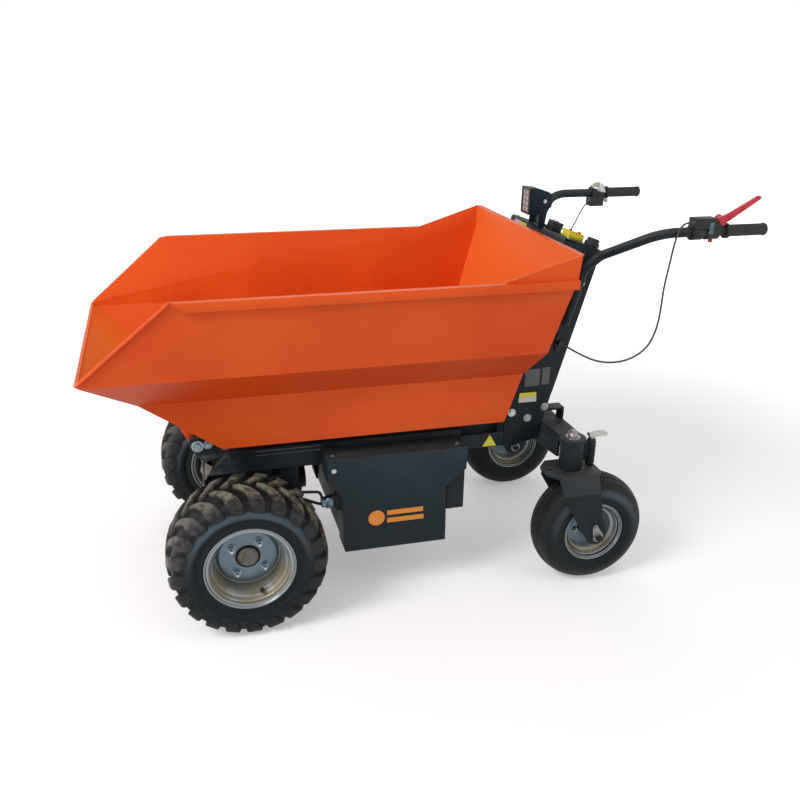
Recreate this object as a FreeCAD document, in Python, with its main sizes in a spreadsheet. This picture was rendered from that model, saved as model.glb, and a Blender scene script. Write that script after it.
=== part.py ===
import FreeCAD, Part
import Sketcher
import math
import os
from FreeCAD import Placement, Rotation, Vector

# Electric wheelbarrow: a steel hopper that tips forward over two driven wheels, a battery case slung
# under a low chassis, two castors behind and a leaning control column with two handlebars.
# Millimetres. +X points forward to the hopper's lip, +Y to the driver's left seen from behind, +Z up.
# The origin is on the ground under the middle of the object's box.

dimensions = {
    # name: (value, what it is)
    "axleX": (500, "front axle, forward of the origin"),
    "wheelBase": (949, "front axle to trailing castor axle"),
    "driveRadius": (203, "16 in drive tyre"),
    "driveWidth": (164, "drive tyre section"),
    "driveTrack": (597, "between the drive wheels' middles"),
    "driveRim": (114.7, "drive rim flange radius"),
    "castorRadius": (159.5, "13 in castor tyre"),
    "castorWidth": (118, "castor tyre section"),
    "castorTrack": (593, "between the castors' middles"),
    "castorRim": (87, "castor rim flange radius"),
    "castorTrail": (65, "swivel axis forward of the castor axle"),
    "forkTop": (343, "top of the castor fork's plate"),
    "wall": (4, "hopper sheet"),
    "floorZ": (476, "hopper floor, underside"),
    "floorFront": (541, "front edge of the floor"),
    "floorRear": (-203, "rear edge of the floor"),
    "floorHalf": (247, "half the floor's width"),
    "foldLowZ": (612, "lower fold of the side"),
    "foldLowHalf": (256, "half width at the lower fold"),
    "foldHighZ": (696, "upper fold of the side"),
    "foldHighHalf": (340, "half width at the upper fold"),
    "rimZ": (886, "top of the hopper's side"),
    "rimHalf": (359, "half width at the rim"),
    "rimBend": (640, "where the rim turns down to the lip"),
    "rimRear": (-324, "rear end of the rim"),
    "lipX": (857, "tip of the pouring lip"),
    "lipZ": (704, "height of the pouring lip"),
    "gussetX": (-130, "where the side rises to the back panel"),
    "backTop": (947, "top of the back panel"),
    "tipX": (600, "tipping pivot"),
    "tipZ": (463, "tipping pivot"),
    "railHalf": (180, "outer face of a chassis rail"),
    "railWide": (50, "rail section"),
    "railTop": (434, "top of the rails"),
    "railLow": (372, "underside of the rails"),
    "caseFront": (282, "front of the battery case"),
    "caseRear": (-98, "rear of the battery case"),
    "caseHalf": (260, "outer face of a battery cover"),
    "caseLow": (142, "bottom of the battery case"),
    "caseLid": (419, "top of the battery covers"),
    "columnHalf": (180, "outer face of the column's sides"),
    "gripZ": (981, "height of the grips"),
    "gripHalf": (318, "grip axis from the middle"),
    "gripRear": (-854, "rear end of the grips"),
    "gripLong": (110, "grip length"),
    "tubeBore": (25, "handlebar tube diameter"),
    "liftX": (366, "lower pin of the lift cylinder"),
    "liftZ": (200, "lower pin of the lift cylinder"),
    "eyeX": (480, "upper pin of the lift cylinder"),
    "eyeZ": (436, "upper pin of the lift cylinder"),
}


class Size:
    # A length together with the spreadsheet formula that gives it.
    def __init__(self, value, formula):
        self.value = float(value)
        self.formula = formula

    def combine(self, other, sign, swap=False):
        first, second = (lift(other), self) if swap else (self, lift(other))
        results = {"+": lambda p, q: p + q, "-": lambda p, q: p - q,
                   "*": lambda p, q: p * q, "/": lambda p, q: p / q}
        value = results[sign](first.value, second.value)
        return Size(value, "(%s %s %s)" % (first.formula, sign, second.formula))

    def __add__(self, other): return self.combine(other, "+")
    def __radd__(self, other): return self.combine(other, "+", True)
    def __sub__(self, other): return self.combine(other, "-")
    def __rsub__(self, other): return self.combine(other, "-", True)
    def __mul__(self, other): return self.combine(other, "*")
    def __rmul__(self, other): return self.combine(other, "*", True)
    def __truediv__(self, other): return self.combine(other, "/")
    def __neg__(self): return self.combine(-1, "*")
    def __float__(self): return self.value


def lift(number):
    if isinstance(number, Size):
        return number
    return Size(number, "%.6g" % number)


doc = FreeCAD.newDocument("ElectricWheelbarrow")
sheet = doc.addObject("Spreadsheet::Sheet", "sizes")
for row, (name, (value, meaning)) in enumerate(dimensions.items(), start=1):
    sheet.set("A%d" % row, name)
    sheet.set("B%d" % row, "%g" % value)
    sheet.set("C%d" % row, meaning)
    sheet.setAlias("B%d" % row, name)
doc.recompute()


class Dimensions:
    # d.wheelBase and so on: each dimension as a Size bound to its cell
    def __getattr__(self, name):
        return Size(sheet.get(name), "sizes." + name)


d = Dimensions()
parts = []


# ---- making features -------------------------------------------------------------------------

def bind(obj, prop, size):
    size = lift(size)
    obj.setExpression(prop, size.formula)


def newBody(name, at=(0, 0, 0), turn=None):
    # turn is (axis, degrees) about the body's own origin
    body = doc.addObject("PartDesign::Body", name)
    body.Label = name
    axis, angle = turn or (Vector(0, 0, 1), 0)
    body.Placement = Placement(Vector(*[float(c) for c in at]), Rotation(axis, float(angle)))
    for letter, size in zip("xyz", at):
        if isinstance(size, Size):
            body.setExpression("Placement.Base." + letter, size.formula)
    parts.append(body)
    return body


def newSketch(body, plane, away=0):
    # planes: XY looks down, XZ has its normal along -Y, YZ has its normal along +X
    origin = next(f for f in body.Origin.OriginFeatures if f.Role == plane + "_Plane")
    sketch = body.newObject("Sketcher::SketchObject", body.Name + "_sketch")
    sketch.AttachmentSupport = [(origin, "")]
    sketch.MapMode = "FlatFace"
    bind(sketch, "AttachmentOffset.Base.z", away)
    return sketch


def fix(sketch, kind, *refs_and_size):
    # one dimension, bound to its formula when it has one
    *refs, size = refs_and_size
    size = lift(size)
    if kind in ("DistanceX", "DistanceY") and abs(size.value) < 1e-9 and "sizes" not in size.formula:
        axis = -2 if kind == "DistanceX" else -1
        sketch.addConstraint(Sketcher.Constraint("PointOnObject", refs[2], refs[3], axis))
        return
    index = sketch.addConstraint(Sketcher.Constraint(kind, *refs, size.value))
    if "sizes" in size.formula:
        sketch.setExpression("Constraints[%d]" % index, size.formula)


def outline(sketch, points):
    # closed straight-sided outline with every corner dimensioned from the sketch's origin
    first = sketch.GeometryCount
    corners = [Vector(float(u), float(v), 0) for u, v in points]
    for here, there in zip(corners, corners[1:] + corners[:1]):
        sketch.addGeometry(Part.LineSegment(here, there), False)
    count = len(points)
    for i in range(count):
        after = first + (i + 1) % count
        sketch.addConstraint(Sketcher.Constraint("Coincident", first + i, 2, after, 1))
    for i, (u, v) in enumerate(points):
        fix(sketch, "DistanceX", -1, 1, first + i, 1, u)
        fix(sketch, "DistanceY", -1, 1, first + i, 1, v)
    return sketch


def box(sketch, low, high):
    (u0, v0), (u1, v1) = low, high
    return outline(sketch, [(u0, v0), (u1, v0), (u1, v1), (u0, v1)])


def ring(sketch, centre, radius):
    u, v = centre
    index = sketch.GeometryCount
    middle = Vector(float(u), float(v), 0)
    sketch.addGeometry(Part.Circle(middle, Vector(0, 0, 1), float(radius)), False)
    fix(sketch, "DistanceX", -1, 1, index, 3, u)
    fix(sketch, "DistanceY", -1, 1, index, 3, v)
    fix(sketch, "Radius", index, radius)
    return sketch


def feature(body, kind, sketch, **settings):
    item = body.newObject("PartDesign::" + kind, body.Name + "_" + kind)
    item.Profile = sketch
    for prop, value in settings.items():
        if isinstance(value, Size):
            item.setExpression(prop, value.formula)
        else:
            setattr(item, prop, value)
    sketch.Visibility = False
    return item


def pad(body, sketch, length, both=False, back=False):
    return feature(body, "Pad", sketch, Length=lift(length), Midplane=both, Reversed=back)


def sidePlate(body, points, outer, thick, side, holes=()):
    # upright plate in the XZ plane: outer face at side * outer, its thickness going inwards
    sketch = newSketch(body, "XZ", -side * outer)
    outline(sketch, points)
    for u, v, radius in holes:
        ring(sketch, (u, v), radius)
    return pad(body, sketch, thick, back=side < 0)


def block(body, low, high):
    # rectangular block between two corners
    (x0, y0, z0), (x1, y1, z1) = low, high
    sketch = newSketch(body, "XY", z0)
    box(sketch, (x0, y0), (x1, y1))
    return pad(body, sketch, lift(z1) - z0)


def rod(body, plane, centre, radius, start, length):
    sketch = newSketch(body, plane, start)
    ring(sketch, centre, radius)
    return pad(body, sketch, length)


def pocket(body, sketch, both=True, length=2000, back=False):
    return feature(body, "Pocket", sketch, Length=lift(length), Midplane=both, Reversed=back)


def turned(body, sketch, axis="H_Axis"):
    return feature(body, "Revolution", sketch, ReferenceAxis=(sketch, [axis]), Angle=360.0)


def rounded(body, radius, wanted):
    # fillet on every edge for which wanted(edge) is true
    doc.recompute()
    base = body.Tip
    names = ["Edge%d" % (i + 1) for i, e in enumerate(base.Shape.Edges) if wanted(e)]
    item = body.newObject("PartDesign::Fillet", body.Name + "_Fillet")
    item.Base = (base, names)
    bind(item, "Radius", radius)
    return item


def alongAxis(letter, least=0):
    # edges parallel to one axis of the body and longer than least
    pick = "XYZ".index(letter)

    def wanted(edge):
        if len(edge.Vertexes) != 2 or not isinstance(edge.Curve, Part.Line):
            return False
        step = edge.Vertexes[1].Point - edge.Vertexes[0].Point
        return abs(abs(step[pick]) - step.Length) < 1e-4 and step.Length > least
    return wanted


def shapePart(name, shape, at=(0, 0, 0)):
    # a sub-part whose shape comes straight from Part's functions
    item = doc.addObject("Part::Feature", name)
    item.Label = name
    item.Shape = shape
    item.Placement = Placement(Vector(*[float(c) for c in at]), Rotation())
    for letter, size in zip("xyz", at):
        if isinstance(size, Size):
            item.setExpression("Placement.Base." + letter, size.formula)
    parts.append(item)
    return item


def bentTube(points, radii, diameter, bore=0):
    # a round tube along straight runs joined by tangent arcs
    points = [Vector(*[float(c) for c in p]) for p in points]
    edges, start = [], points[0]
    for i in range(1, len(points) - 1):
        before = (points[i - 1] - points[i]).normalize()
        after = (points[i + 1] - points[i]).normalize()
        opening = before.getAngle(after)
        reach = radii[i - 1] / math.tan(opening / 2)
        enter, leave = points[i] + before * reach, points[i] + after * reach
        middle = (before + after).normalize()
        summit = points[i] + middle * (radii[i - 1] / math.sin(opening / 2) - radii[i - 1])
        edges.append(Part.LineSegment(start, enter).toShape())
        edges.append(Part.Arc(enter, summit, leave).toShape())
        start = leave
    edges.append(Part.LineSegment(start, points[-1]).toShape())
    path = Part.Wire(edges)
    heading = points[1] - points[0]

    def swept(radius):
        section = Part.Wire([Part.makeCircle(radius, points[0], heading)])
        return path.makePipeShell([section], True, True)
    tube = swept(float(diameter) / 2)
    if bore:
        tube = tube.cut(swept(float(bore) / 2))
    return tube


sides = {"left": 1, "right": -1}


# ---- hopper ----------------------------------------------------------------------------------

def hopperForm(name, inset):
    # the tub's solid form: one folded section along X, trimmed to the side outline.
    # inset 0 gives the outside; inset d.wall gives the space inside, open at the top.
    body = newBody(name)
    foldIn, foldUp = inset * 0.98, inset * 0.45     # how the folds' corners move with the sheet
    section = newSketch(body, "YZ", -420)
    top = d.backTop + 40
    flare = (d.rimHalf - d.foldHighHalf) / (d.rimZ - d.foldHighZ)
    half = [(d.floorHalf - inset * 0.94, d.floorZ + inset),
            (d.foldLowHalf - foldIn, d.foldLowZ + foldUp),
            (d.foldHighHalf - foldIn, d.foldHighZ + foldUp),
            (d.foldHighHalf - inset + flare * (top - d.foldHighZ), top)]
    outline(section, half + [(-u, v) for u, v in reversed(half)])
    pad(body, section, 1400)
    trim = newSketch(body, "XZ")
    box(trim, (-600, 300), (1200, 1200))
    noseSlope = (d.lipX - d.floorFront) / (d.lipZ - d.floorZ)
    if inset == 0:
        outline(trim, [(d.floorRear, d.floorZ), (d.floorFront, d.floorZ), (d.lipX, d.lipZ),
                       (d.rimBend, d.rimZ), (d.gussetX, d.rimZ), (d.rimRear - 3, d.backTop),
                       (d.rimRear, d.rimZ)])
    else:
        front = d.floorFront - inset * 0.32
        outline(trim, [(d.floorRear + inset * 0.75, d.floorZ + inset), (front, d.floorZ + inset),
                       (front + noseSlope * (top - d.floorZ - inset), top), (d.rimRear + 1, top),
                       (d.rimRear + 1, d.backTop), (d.rimRear + inset, d.rimZ)])
    pocket(body, trim)
    return body


def hopperTub():
    outside = hopperForm("hopper_outside", 0)
    for side in (1, -1):
        rim = newSketch(outside, "YZ", d.rimRear)
        inner, outer = side * (d.rimHalf - 3), side * (d.rimHalf + 12)
        outline(rim, [(inner, d.rimZ - 3), (inner, d.rimZ), (outer, d.rimZ), (outer, d.rimZ - 22),
                      (outer - side * 3, d.rimZ - 22), (outer - side * 3, d.rimZ - 3)])
        pad(outside, rim, d.rimBend - d.rimRear - 4)
        slant = newSketch(outside, "XZ", -side * (d.rimHalf + 1.5))
        outline(slant, [(d.rimBend - 39, d.rimZ - 26), (d.rimBend - 5, d.rimZ + 1),
                        (d.rimBend + 20, d.rimZ + 1), (d.rimBend + 20, d.rimZ - 26)])
        pocket(outside, slant, both=False, length=30, back=side < 0)
    fold = newSketch(outside, "XZ", -354)
    outline(fold, [(d.rimRear - 3, d.backTop - 3), (d.rimRear + 2, d.backTop - 3),
                   (d.rimRear - 3, d.backTop), (d.rimRear - 11, d.backTop), (d.rimRear - 11, d.backTop - 3)])
    pad(outside, fold, 708)
    inside = hopperForm("hopper_inside", d.wall)
    shell = doc.addObject("Part::Cut", "hopper_shell")
    shell.Base, shell.Tool = outside, inside
    side, end = d.rimHalf + 2.2, d.foldHighHalf + 3
    top, front = (d.rimBend + 2, d.rimZ - 3.4), (d.lipX - 5, d.lipZ - 0.6)
    hem = doc.addObject("Part::Feature", "hopper_hem")
    hem.Shape = bentTube([(top[0], side, top[1]), (front[0], end, front[1]), (front[0], -end, front[1]),
                          (top[0], -side, top[1])], [16, 16], 10)
    tub = doc.addObject("Part::MultiFuse", "hopper_tub")
    tub.Label = "hopper_tub"
    tub.Shapes = [shell, hem]
    del parts[-2:]
    parts.append(tub)
    return tub


def tipEars():
    # the two plates under the hopper's nose that turn on the tipping shaft
    ears = []
    slope = (d.lipZ - d.floorZ) / (d.lipX - d.floorFront)
    for name, side in sides.items():
        body = newBody("tip_ear_" + name)
        front = d.tipX + 46
        sidePlate(body, [(516, d.floorZ - 0.2), (d.floorFront, d.floorZ - 0.2),
                         (front, d.floorZ - 0.4 + slope * (front - d.floorFront)), (d.tipX + 36, d.tipZ + 34),
                         (d.tipX + 20, d.tipZ - 2), (d.tipX + 11, d.tipZ - 17), (d.tipX - 10, d.tipZ - 19),
                         (516, d.floorZ - 22)], 158, 8, side, holes=[(d.tipX, d.tipZ, 12.56)])
        ears.append(parts.pop())
    pair = doc.addObject("Part::Compound", "tip_ears")
    pair.Label = "tip_ears"
    pair.Links = ears
    parts.append(pair)
    return pair


def hopperSubframe():
    # two channels under the floor, cross plates between them and the lift lugs
    body = newBody("hopper_subframe")
    for side in (1, -1):
        web = newSketch(body, "YZ", -190)
        near, far = side * 140, side * 177
        outline(web, [(near, 443), (far, 443), (far, d.floorZ), (near, d.floorZ), (near, 472),
                      (far - side * 4, 472), (far - side * 4, 447), (near, 447)])
        pad(body, web, 700)
    for x in (-150, 150, 380):
        plate = newSketch(body, "XY", 472)
        box(plate, (x, -141), (x + 40, 141))
        pad(body, plate, d.floorZ - 472)
        web = newSketch(body, "XY", 448)
        box(web, (x + 16, -141), (x + 24, 141))
        pad(body, web, d.floorZ - 448)
    for side in (1, -1):
        lug = newSketch(body, "XZ", side * -24 - 4)
        outline(lug, [(d.eyeX - 26, d.floorZ), (d.eyeX - 14, d.eyeZ - 14), (d.eyeX + 14, d.eyeZ - 14),
                      (d.eyeX + 26, d.floorZ)])
        pad(body, lug, 8)
    tie = newSketch(body, "XY", 472)
    box(tie, (419, -36), (506, 36))
    pad(body, tie, d.floorZ - 472)
    rod(body, "XZ", (d.eyeX, d.eyeZ), 7, -30, 60)
    return body


# ---- lift cylinder ---------------------------------------------------------------------------

def liftAngle():
    # lean of the closed cylinder from upright, towards +X
    return math.degrees(math.atan2(float(d.eyeX - d.liftX), float(d.eyeZ - d.liftZ)))


def liftLength():
    return math.hypot(float(d.eyeX - d.liftX), float(d.eyeZ - d.liftZ))


def liftCylinder():
    # barrel with its lower eye, drawn upright and leaned about the lower pin
    body = newBody("lift_cylinder", (d.liftX, 0, d.liftZ), (Vector(0, 1, 0), liftAngle()))
    eye = newSketch(body, "XZ")
    ring(eye, (0, 0), 17)
    ring(eye, (0, 0), 8.06)
    pad(body, eye, 26, both=True)
    neck = newSketch(body, "XY", 15)
    box(neck, (-11, -11), (11, 11))
    pad(body, neck, 15)
    barrel = newSketch(body, "XZ")
    outline(barrel, [(0, 28), (27, 28), (27, 190), (22, 196), (22, 210), (12.3, 210), (12.3, 40), (0, 40)])
    turned(body, barrel, "V_Axis")
    return body


def liftRod():
    body = newBody("lift_rod", (d.eyeX, 0, d.eyeZ), (Vector(0, 1, 0), liftAngle()))
    shank = newSketch(body, "XY", -21)
    ring(shank, (0, 0), 12)
    pad(body, shank, 185, back=True)
    eye = newSketch(body, "XZ")
    ring(eye, (0, 0), 25)
    ring(eye, (0, 0), 17.5)
    pad(body, eye, 24, both=True)
    return body


# ---- wheels ----------------------------------------------------------------------------------

def tyre(name, radius, width, rim, inset, at, wall):
    # casing of revolution about Y: round tread, full sidewalls, beads seated inside the rim's flanges
    body = newBody(name, at)
    section = newSketch(body, "XY")
    half, bead = width / 2, rim - 10
    high = radius - bead
    outer = [(bead, half - inset - 8), (rim + 0.6, half - inset - 5), (rim + 3, half - 2),
             (bead + high * 0.5, half), (bead + high * 0.8, half * 0.9),
             (radius - high * 0.045, half * 0.66), (radius, half * 0.3)]
    inner = [(bead, half - inset - 8 - wall), (bead + high * 0.5, half - wall),
             (radius - wall - 2, half * 0.5)]
    points = outer + [(u, -v) for u, v in reversed(outer)]
    points += [(u, -v) for u, v in inner] + list(reversed(inner))
    outline(section, points)
    turned(body, section, "V_Axis")
    return body


def driveRim(name, side):
    # dished steel rim: raised centre with four stud holes, sloping out to the barrel
    body = newBody(name, (d.axleX, side * d.driveTrack / 2, d.driveRadius))
    section = newSketch(body, "XY")
    flange, seat, drop = d.driveRim, d.driveRim - 12, d.driveRim - 26
    half = d.driveWidth / 2 - 2
    out = side
    points = [(flange, out * half), (flange, out * (half - 3)), (seat, out * (half - 6)),
              (seat, out * (half - 26)), (drop, out * (half - 34)), (drop, -out * (half - 60)),
              (seat, -out * (half - 30)), (seat, -out * (half - 6)), (flange, -out * (half - 3)),
              (flange, -out * half), (seat - 3, -out * half), (seat - 3, -out * (half - 29)),
              (drop - 4, -out * (half - 59)), (drop - 4, -out * 6), (80, -out * 4), (70, out * 6),
              (20, out * 6), (20, out * 11), (72, out * 11), (82, out * 1), (drop - 4, -out * 1),
              (drop - 4, out * (half - 32)), (seat - 3, out * (half - 24)), (seat - 3, out * half)]
    outline(section, points)
    turned(body, section, "V_Axis")
    return body


def driveHub(name, side):
    # flange, turned hub and cap that carry the rim and turn with it
    body = newBody(name, (d.axleX, side * d.driveTrack / 2, d.driveRadius))
    section = newSketch(body, "XY")
    out = side
    outline(section, [(0, out * 38), (24, out * 38), (27, out * 35), (27, out * 17), (19.9, out * 17),
                      (19.9, out * 5.9), (62, out * 5.9), (62, -out * 4), (34, -out * 4), (34, -out * 38),
                      (0, -out * 38)])
    turned(body, section, "V_Axis")
    return body


def castorRim(name, side):
    body = newBody(name, (d.axleX - d.wheelBase, side * d.castorTrack / 2, d.castorRadius))
    section = newSketch(body, "XY")
    flange, seat, drop = d.castorRim, d.castorRim - 11, d.castorRim - 24
    half = d.castorWidth / 2 - 5
    outer = [(flange, half), (flange, half - 3), (seat, half - 6), (seat, half - 18), (drop, half - 26)]
    inner = [(seat - 3, half), (seat - 3, half - 16.3), (drop - 3, half - 24.3), (drop - 3, 3), (26, 3),
             (26, half - 4), (10.06, half - 4)]
    points = outer + [(u, -v) for u, v in reversed(outer)]
    points += [(u, -v) for u, v in inner] + list(reversed(inner))
    outline(section, points)
    turned(body, section, "V_Axis")
    return body


def castorFork(name, side):
    # top plate with index holes, two flared legs and the axle, in the swivel axis' own frame
    body = newBody(name, (d.axleX - d.wheelBase + d.castorTrail, side * d.castorTrack / 2, d.forkTop))
    plate = newSketch(body, "XY")
    outline(plate, [(78, -24), (78, 24), (51, 55), (-61, 55), (-74, 40), (-74, -40), (-61, -55), (51, -55)])
    for x in (57, -57):
        ring(plate, (x, 0), 6)
    pad(body, plate, 8, back=True)
    rounded(body, 12, alongAxis("Z"))
    drop = d.forkTop - d.castorRadius
    for out in (1, -1):
        bend = newSketch(body, "YZ", 51)
        outline(bend, [(out * 46, 0), (out * 55, 0), (out * 76, -50), (out * 76, -drop - 24),
                       (out * 69, -drop - 24), (out * 69, -51), (out * 50, -8), (out * 46, -8)])
        pad(body, bend, 112, back=True)
        leg = newSketch(body, "YZ", -60)
        outline(leg, [(out * 76, -50), (out * 76, -drop - 24), (out * 69, -drop - 24), (out * 69, -50)])
        pad(body, leg, 31, back=True)
    legs = newSketch(body, "XZ")
    outline(legs, [(140, -9), (51, -9), (48, -52), (-39, -drop - 16), (-d.castorTrail + 12, -drop - 22),
                   (-d.castorTrail - 4, -drop - 24), (-d.castorTrail - 4, -drop - 60), (140, -drop - 60)])
    outline(legs, [(-140, -9), (-61, -9), (-61, -54), (-d.castorTrail - 23, -drop + 8),
                   (-d.castorTrail - 23, -drop - 4), (-d.castorTrail - 17, -drop - 18),
                   (-d.castorTrail - 5, -drop - 23.8), (-d.castorTrail - 5, -drop - 60), (-140, -drop - 60)])
    pocket(body, legs)
    axle = newSketch(body, "XZ", -85)
    ring(axle, (-d.castorTrail, -drop), 10)
    pad(body, axle, 170)
    stem = newSketch(body, "XY")
    ring(stem, (0, 0), 15)
    pad(body, stem, 112)
    head = newSketch(body, "XY", 96)
    ring(head, (0, 0), 19)
    pad(body, head, 18)
    return body


# ---- chassis ---------------------------------------------------------------------------------

def rail(name, side):
    # box rail, its front end mitred under a bracket for the tipping shaft, its rear end open on top
    body = newBody(name)
    sidePlate(body, [(-232, d.railLow), (582, d.railLow), (523, d.railTop), (-232, d.railTop)],
              d.railHalf, d.railWide, side)
    sidePlate(body, [(512, 424), (512, d.railTop), (538, d.railTop), (550, d.tipZ + 3),
                     (564, d.tipZ + 15), (607, d.tipZ + 25), (621, d.tipZ + 12), (618, d.tipZ - 12),
                     (609, 441), (602, 430), (585, 410), (537, 426)],
              d.railHalf, 13, side, holes=[(d.tipX, d.tipZ, 12.5)])
    hollow = newSketch(body, "YZ", -240)
    inner, outer = side * (d.railHalf - d.railWide + 4), side * (d.railHalf - 4)
    low, high = (inner, outer) if side > 0 else (outer, inner)
    box(hollow, (low, d.railLow + 4), (high, d.railTop - 4))
    pocket(body, hollow, both=False, length=760, back=True)
    low, high = sorted([side * (d.railHalf - d.railWide + 4), side * (d.railHalf + 4)], key=float)
    slot = newSketch(body, "XY", 413)
    box(slot, (-250, low), (-104, high))
    pocket(body, slot, both=False, length=40, back=True)
    return body


def tipShaft():
    # cross shaft of the tipping hinge with a bolt head at each end
    body = newBody("tip_shaft")
    rod(body, "XZ", (d.tipX, d.tipZ), 12.5, -180, 360)
    for start in (-191, 180):
        rod(body, "XZ", (d.tipX, d.tipZ), 15, start, 11)
    return body


def frontBeam():
    # cross tube that ties the rails just ahead of the axle
    body = newBody("front_beam")
    block(body, (540, -130, d.railLow + 4), (578, 130, d.railTop - 16))
    return body


def rearPlate(name, side):
    # chassis plate under the column, outside the rail's end
    body = newBody(name)
    sidePlate(body, [(-232, d.railLow), (-262, 367), (-339, 387), (-352, 462), (-368, 521),
                     (-254, 521), (-232, d.railTop)], d.columnHalf, 8, side)
    return body


def castorBeam():
    # channel across the chassis with a strap above each end and an arm out to each castor's head tube
    body = newBody("castor_beam")
    section = newSketch(body, "XZ", -172)
    outline(section, [(-352, 356), (-352, 430), (-410, 430), (-410, 356), (-404, 356), (-404, 424),
                      (-358, 424), (-358, 356)])
    pad(body, section, 344)
    for away in (-172, 136):
        strap = newSketch(body, "XZ", away)
        outline(strap, [(-414, 426), (-414, 468), (-352, 468), (-352, 462), (-408, 462), (-408, 426)])
        pad(body, strap, 36)
    x = d.axleX - d.wheelBase + d.castorTrail
    for side in (1, -1):
        y = side * d.castorTrack / 2
        top = newSketch(body, "XY", 426)
        outline(top, [(-352, side * 170), (-355, y), (x - 31, y), (-412, side * 170)])
        pad(body, top, 8)
        cap = newSketch(body, "XY", 426)
        ring(cap, (x, y), 36)
        pad(body, cap, 8)
        tube = newSketch(body, "XY", d.forkTop + 4)
        ring(tube, (x, y), 32)
        pad(body, tube, 426 - d.forkTop - 4)
        for front in (-358, -404):
            web = newSketch(body, "YZ", front)
            outline(web, [(side * 171, 356), (side * 276, 370), (side * 276, 426), (side * 171, 426)])
            pad(body, web, 6)
        bore = newSketch(body, "XY", d.forkTop)
        ring(bore, (x, y), 15.06)
        pocket(body, bore, both=False, length=120, back=True)
    return body


def castorLock(name, side):
    # spring plunger behind the head tube that holds the castor straight
    body = newBody(name)
    x, y = d.axleX - d.wheelBase + d.castorTrail, side * d.castorTrack / 2
    barrel = newSketch(body, "XY", d.forkTop + 4)
    ring(barrel, (x - 57, y), 11)
    pad(body, barrel, 78)
    block(body, (x - 50, y - 6, d.forkTop + 20), (x - 32.4, y + 6, 420))
    handle = newSketch(body, "XY", 425)
    box(handle, (x - 99, y - 9), (x - 46, y + 9))
    pad(body, handle, 16)
    return body


def axleCradle():
    # plates that hang the drive axle from the rails, tied by the channel that carries the lift cylinder
    body = newBody("axle_cradle")
    hanger = [(410, d.railLow), (590, d.railLow), (552, 190), (530, 160), (470, 160), (448, 190)]
    for side in (1, -1):
        sidePlate(body, hanger, d.railHalf - 20, 10, side, holes=[(d.axleX, d.driveRadius, 34)])
    left, right = d.liftX - 22, d.liftX + 22
    block(body, (left, -172, 136), (right, 172, 152))
    for side in (1, -1):
        low, high = (160, 172) if side > 0 else (-172, -160)
        block(body, (left, low, 152), (right, high, d.railLow))
        low, high = (150, 166) if side > 0 else (-166, -150)
        block(body, (left + 6, low, 300), (420, high, 340))
        low, high = (66, 172) if side > 0 else (-172, -66)
        block(body, (584, low, 300), (590, high, 408))
        lug = newSketch(body, "XZ", side * -19 - 4)
        outline(lug, [(d.liftX - 20, 152), (d.liftX + 20, 152), (d.liftX + 14, d.liftZ + 14),
                      (d.liftX - 14, d.liftZ + 14)])
        pad(body, lug, 8)
    rod(body, "XZ", (d.liftX, d.liftZ), 8, -27, 54)
    return body


def driveAxle():
    # gear case offset to the right with a flange for the motor, and axle tubes out to both hubs
    body = newBody("drive_axle", (d.axleX, 0, d.driveRadius))
    tube = newSketch(body, "XZ", -218)
    ring(tube, (0, 0), 33.9)
    pad(body, tube, 436)
    case = newSketch(body, "XZ", 40)
    ring(case, (0, 0), 74)
    pad(body, case, 110)
    block(body, (-78, -141, -46), (-40, -49, 46))
    return body


def driveMotor():
    # motor behind the gear case, in line with the chassis
    body = newBody("drive_motor", (d.axleX, -95, d.driveRadius))
    rod(body, "YZ", (0, 0), 45, -198, 120)
    rod(body, "YZ", (0, 0), 34, -212, 14)
    return body


# ---- battery case ----------------------------------------------------------------------------

def batteryCase():
    # housing under the rails that holds the batteries, with a shallower pod at its rear
    body = newBody("battery_case")
    block(body, (-41, -178, d.caseLow + 4), (233, 178, d.railLow - 4))
    pod = newSketch(body, "XZ", -252)
    outline(pod, [(d.caseRear + 2, 233), (-47, 233), (-47, 308), (d.caseRear + 2, 351)])
    pad(body, pod, 504)
    return body


def batteryCover(name, side):
    # folded cover: lid, stepped face with chamfers, and the ends of the box, open towards the rail
    body = newBody(name)
    face = [(d.caseRear, d.caseLid), (d.caseRear, 355), (-43, 307), (-45, d.caseLow), (237, d.caseLow),
            (243, 307), (d.caseFront, 355), (d.caseFront, d.caseLid)]
    sidePlate(body, face, d.caseHalf, 79, side)
    inside = newSketch(body, "XZ", -side * (d.caseHalf - 79))
    outline(inside, [(d.caseRear + 3, d.caseLid - 3), (d.caseRear + 3, 356.7), (-40, 308.6),
                     (-42, d.caseLow + 3), (234.1, d.caseLow + 3), (240.1, 308.2),
                     (d.caseFront - 3, 356.3), (d.caseFront - 3, d.caseLid - 3)])
    pocket(body, inside, both=False, length=76, back=side < 0)
    return body


# ---- column ----------------------------------------------------------------------------------

def column():
    # folded steering column: two leaning sides, front and rear skins, open at the foot
    body = newBody("column")
    for side in (1, -1):
        sidePlate(body, [(-254, 521), (-368, 521), (-474, 908), (-370, 945)], d.columnHalf, 6, side)
    skin = newSketch(body, "XZ", -176)
    outline(skin, [(-254, 521), (-260, 521), (-376, 942.6), (-370, 945)])
    outline(skin, [(-362, 521), (-368, 521), (-474, 908), (-468, 910)])
    pad(body, skin, 352)
    return body


def consoleTop():
    # sloping top panel with a turned-down front strip
    body = newBody("console_top")
    section = newSketch(body, "XZ", -180)
    outline(section, [(-370, 945), (-474, 908), (-475.4, 911.8), (-371, 949), (-364, 946), (-356, 914),
                      (-359, 913)])
    pad(body, section, 360)
    return body


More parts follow.
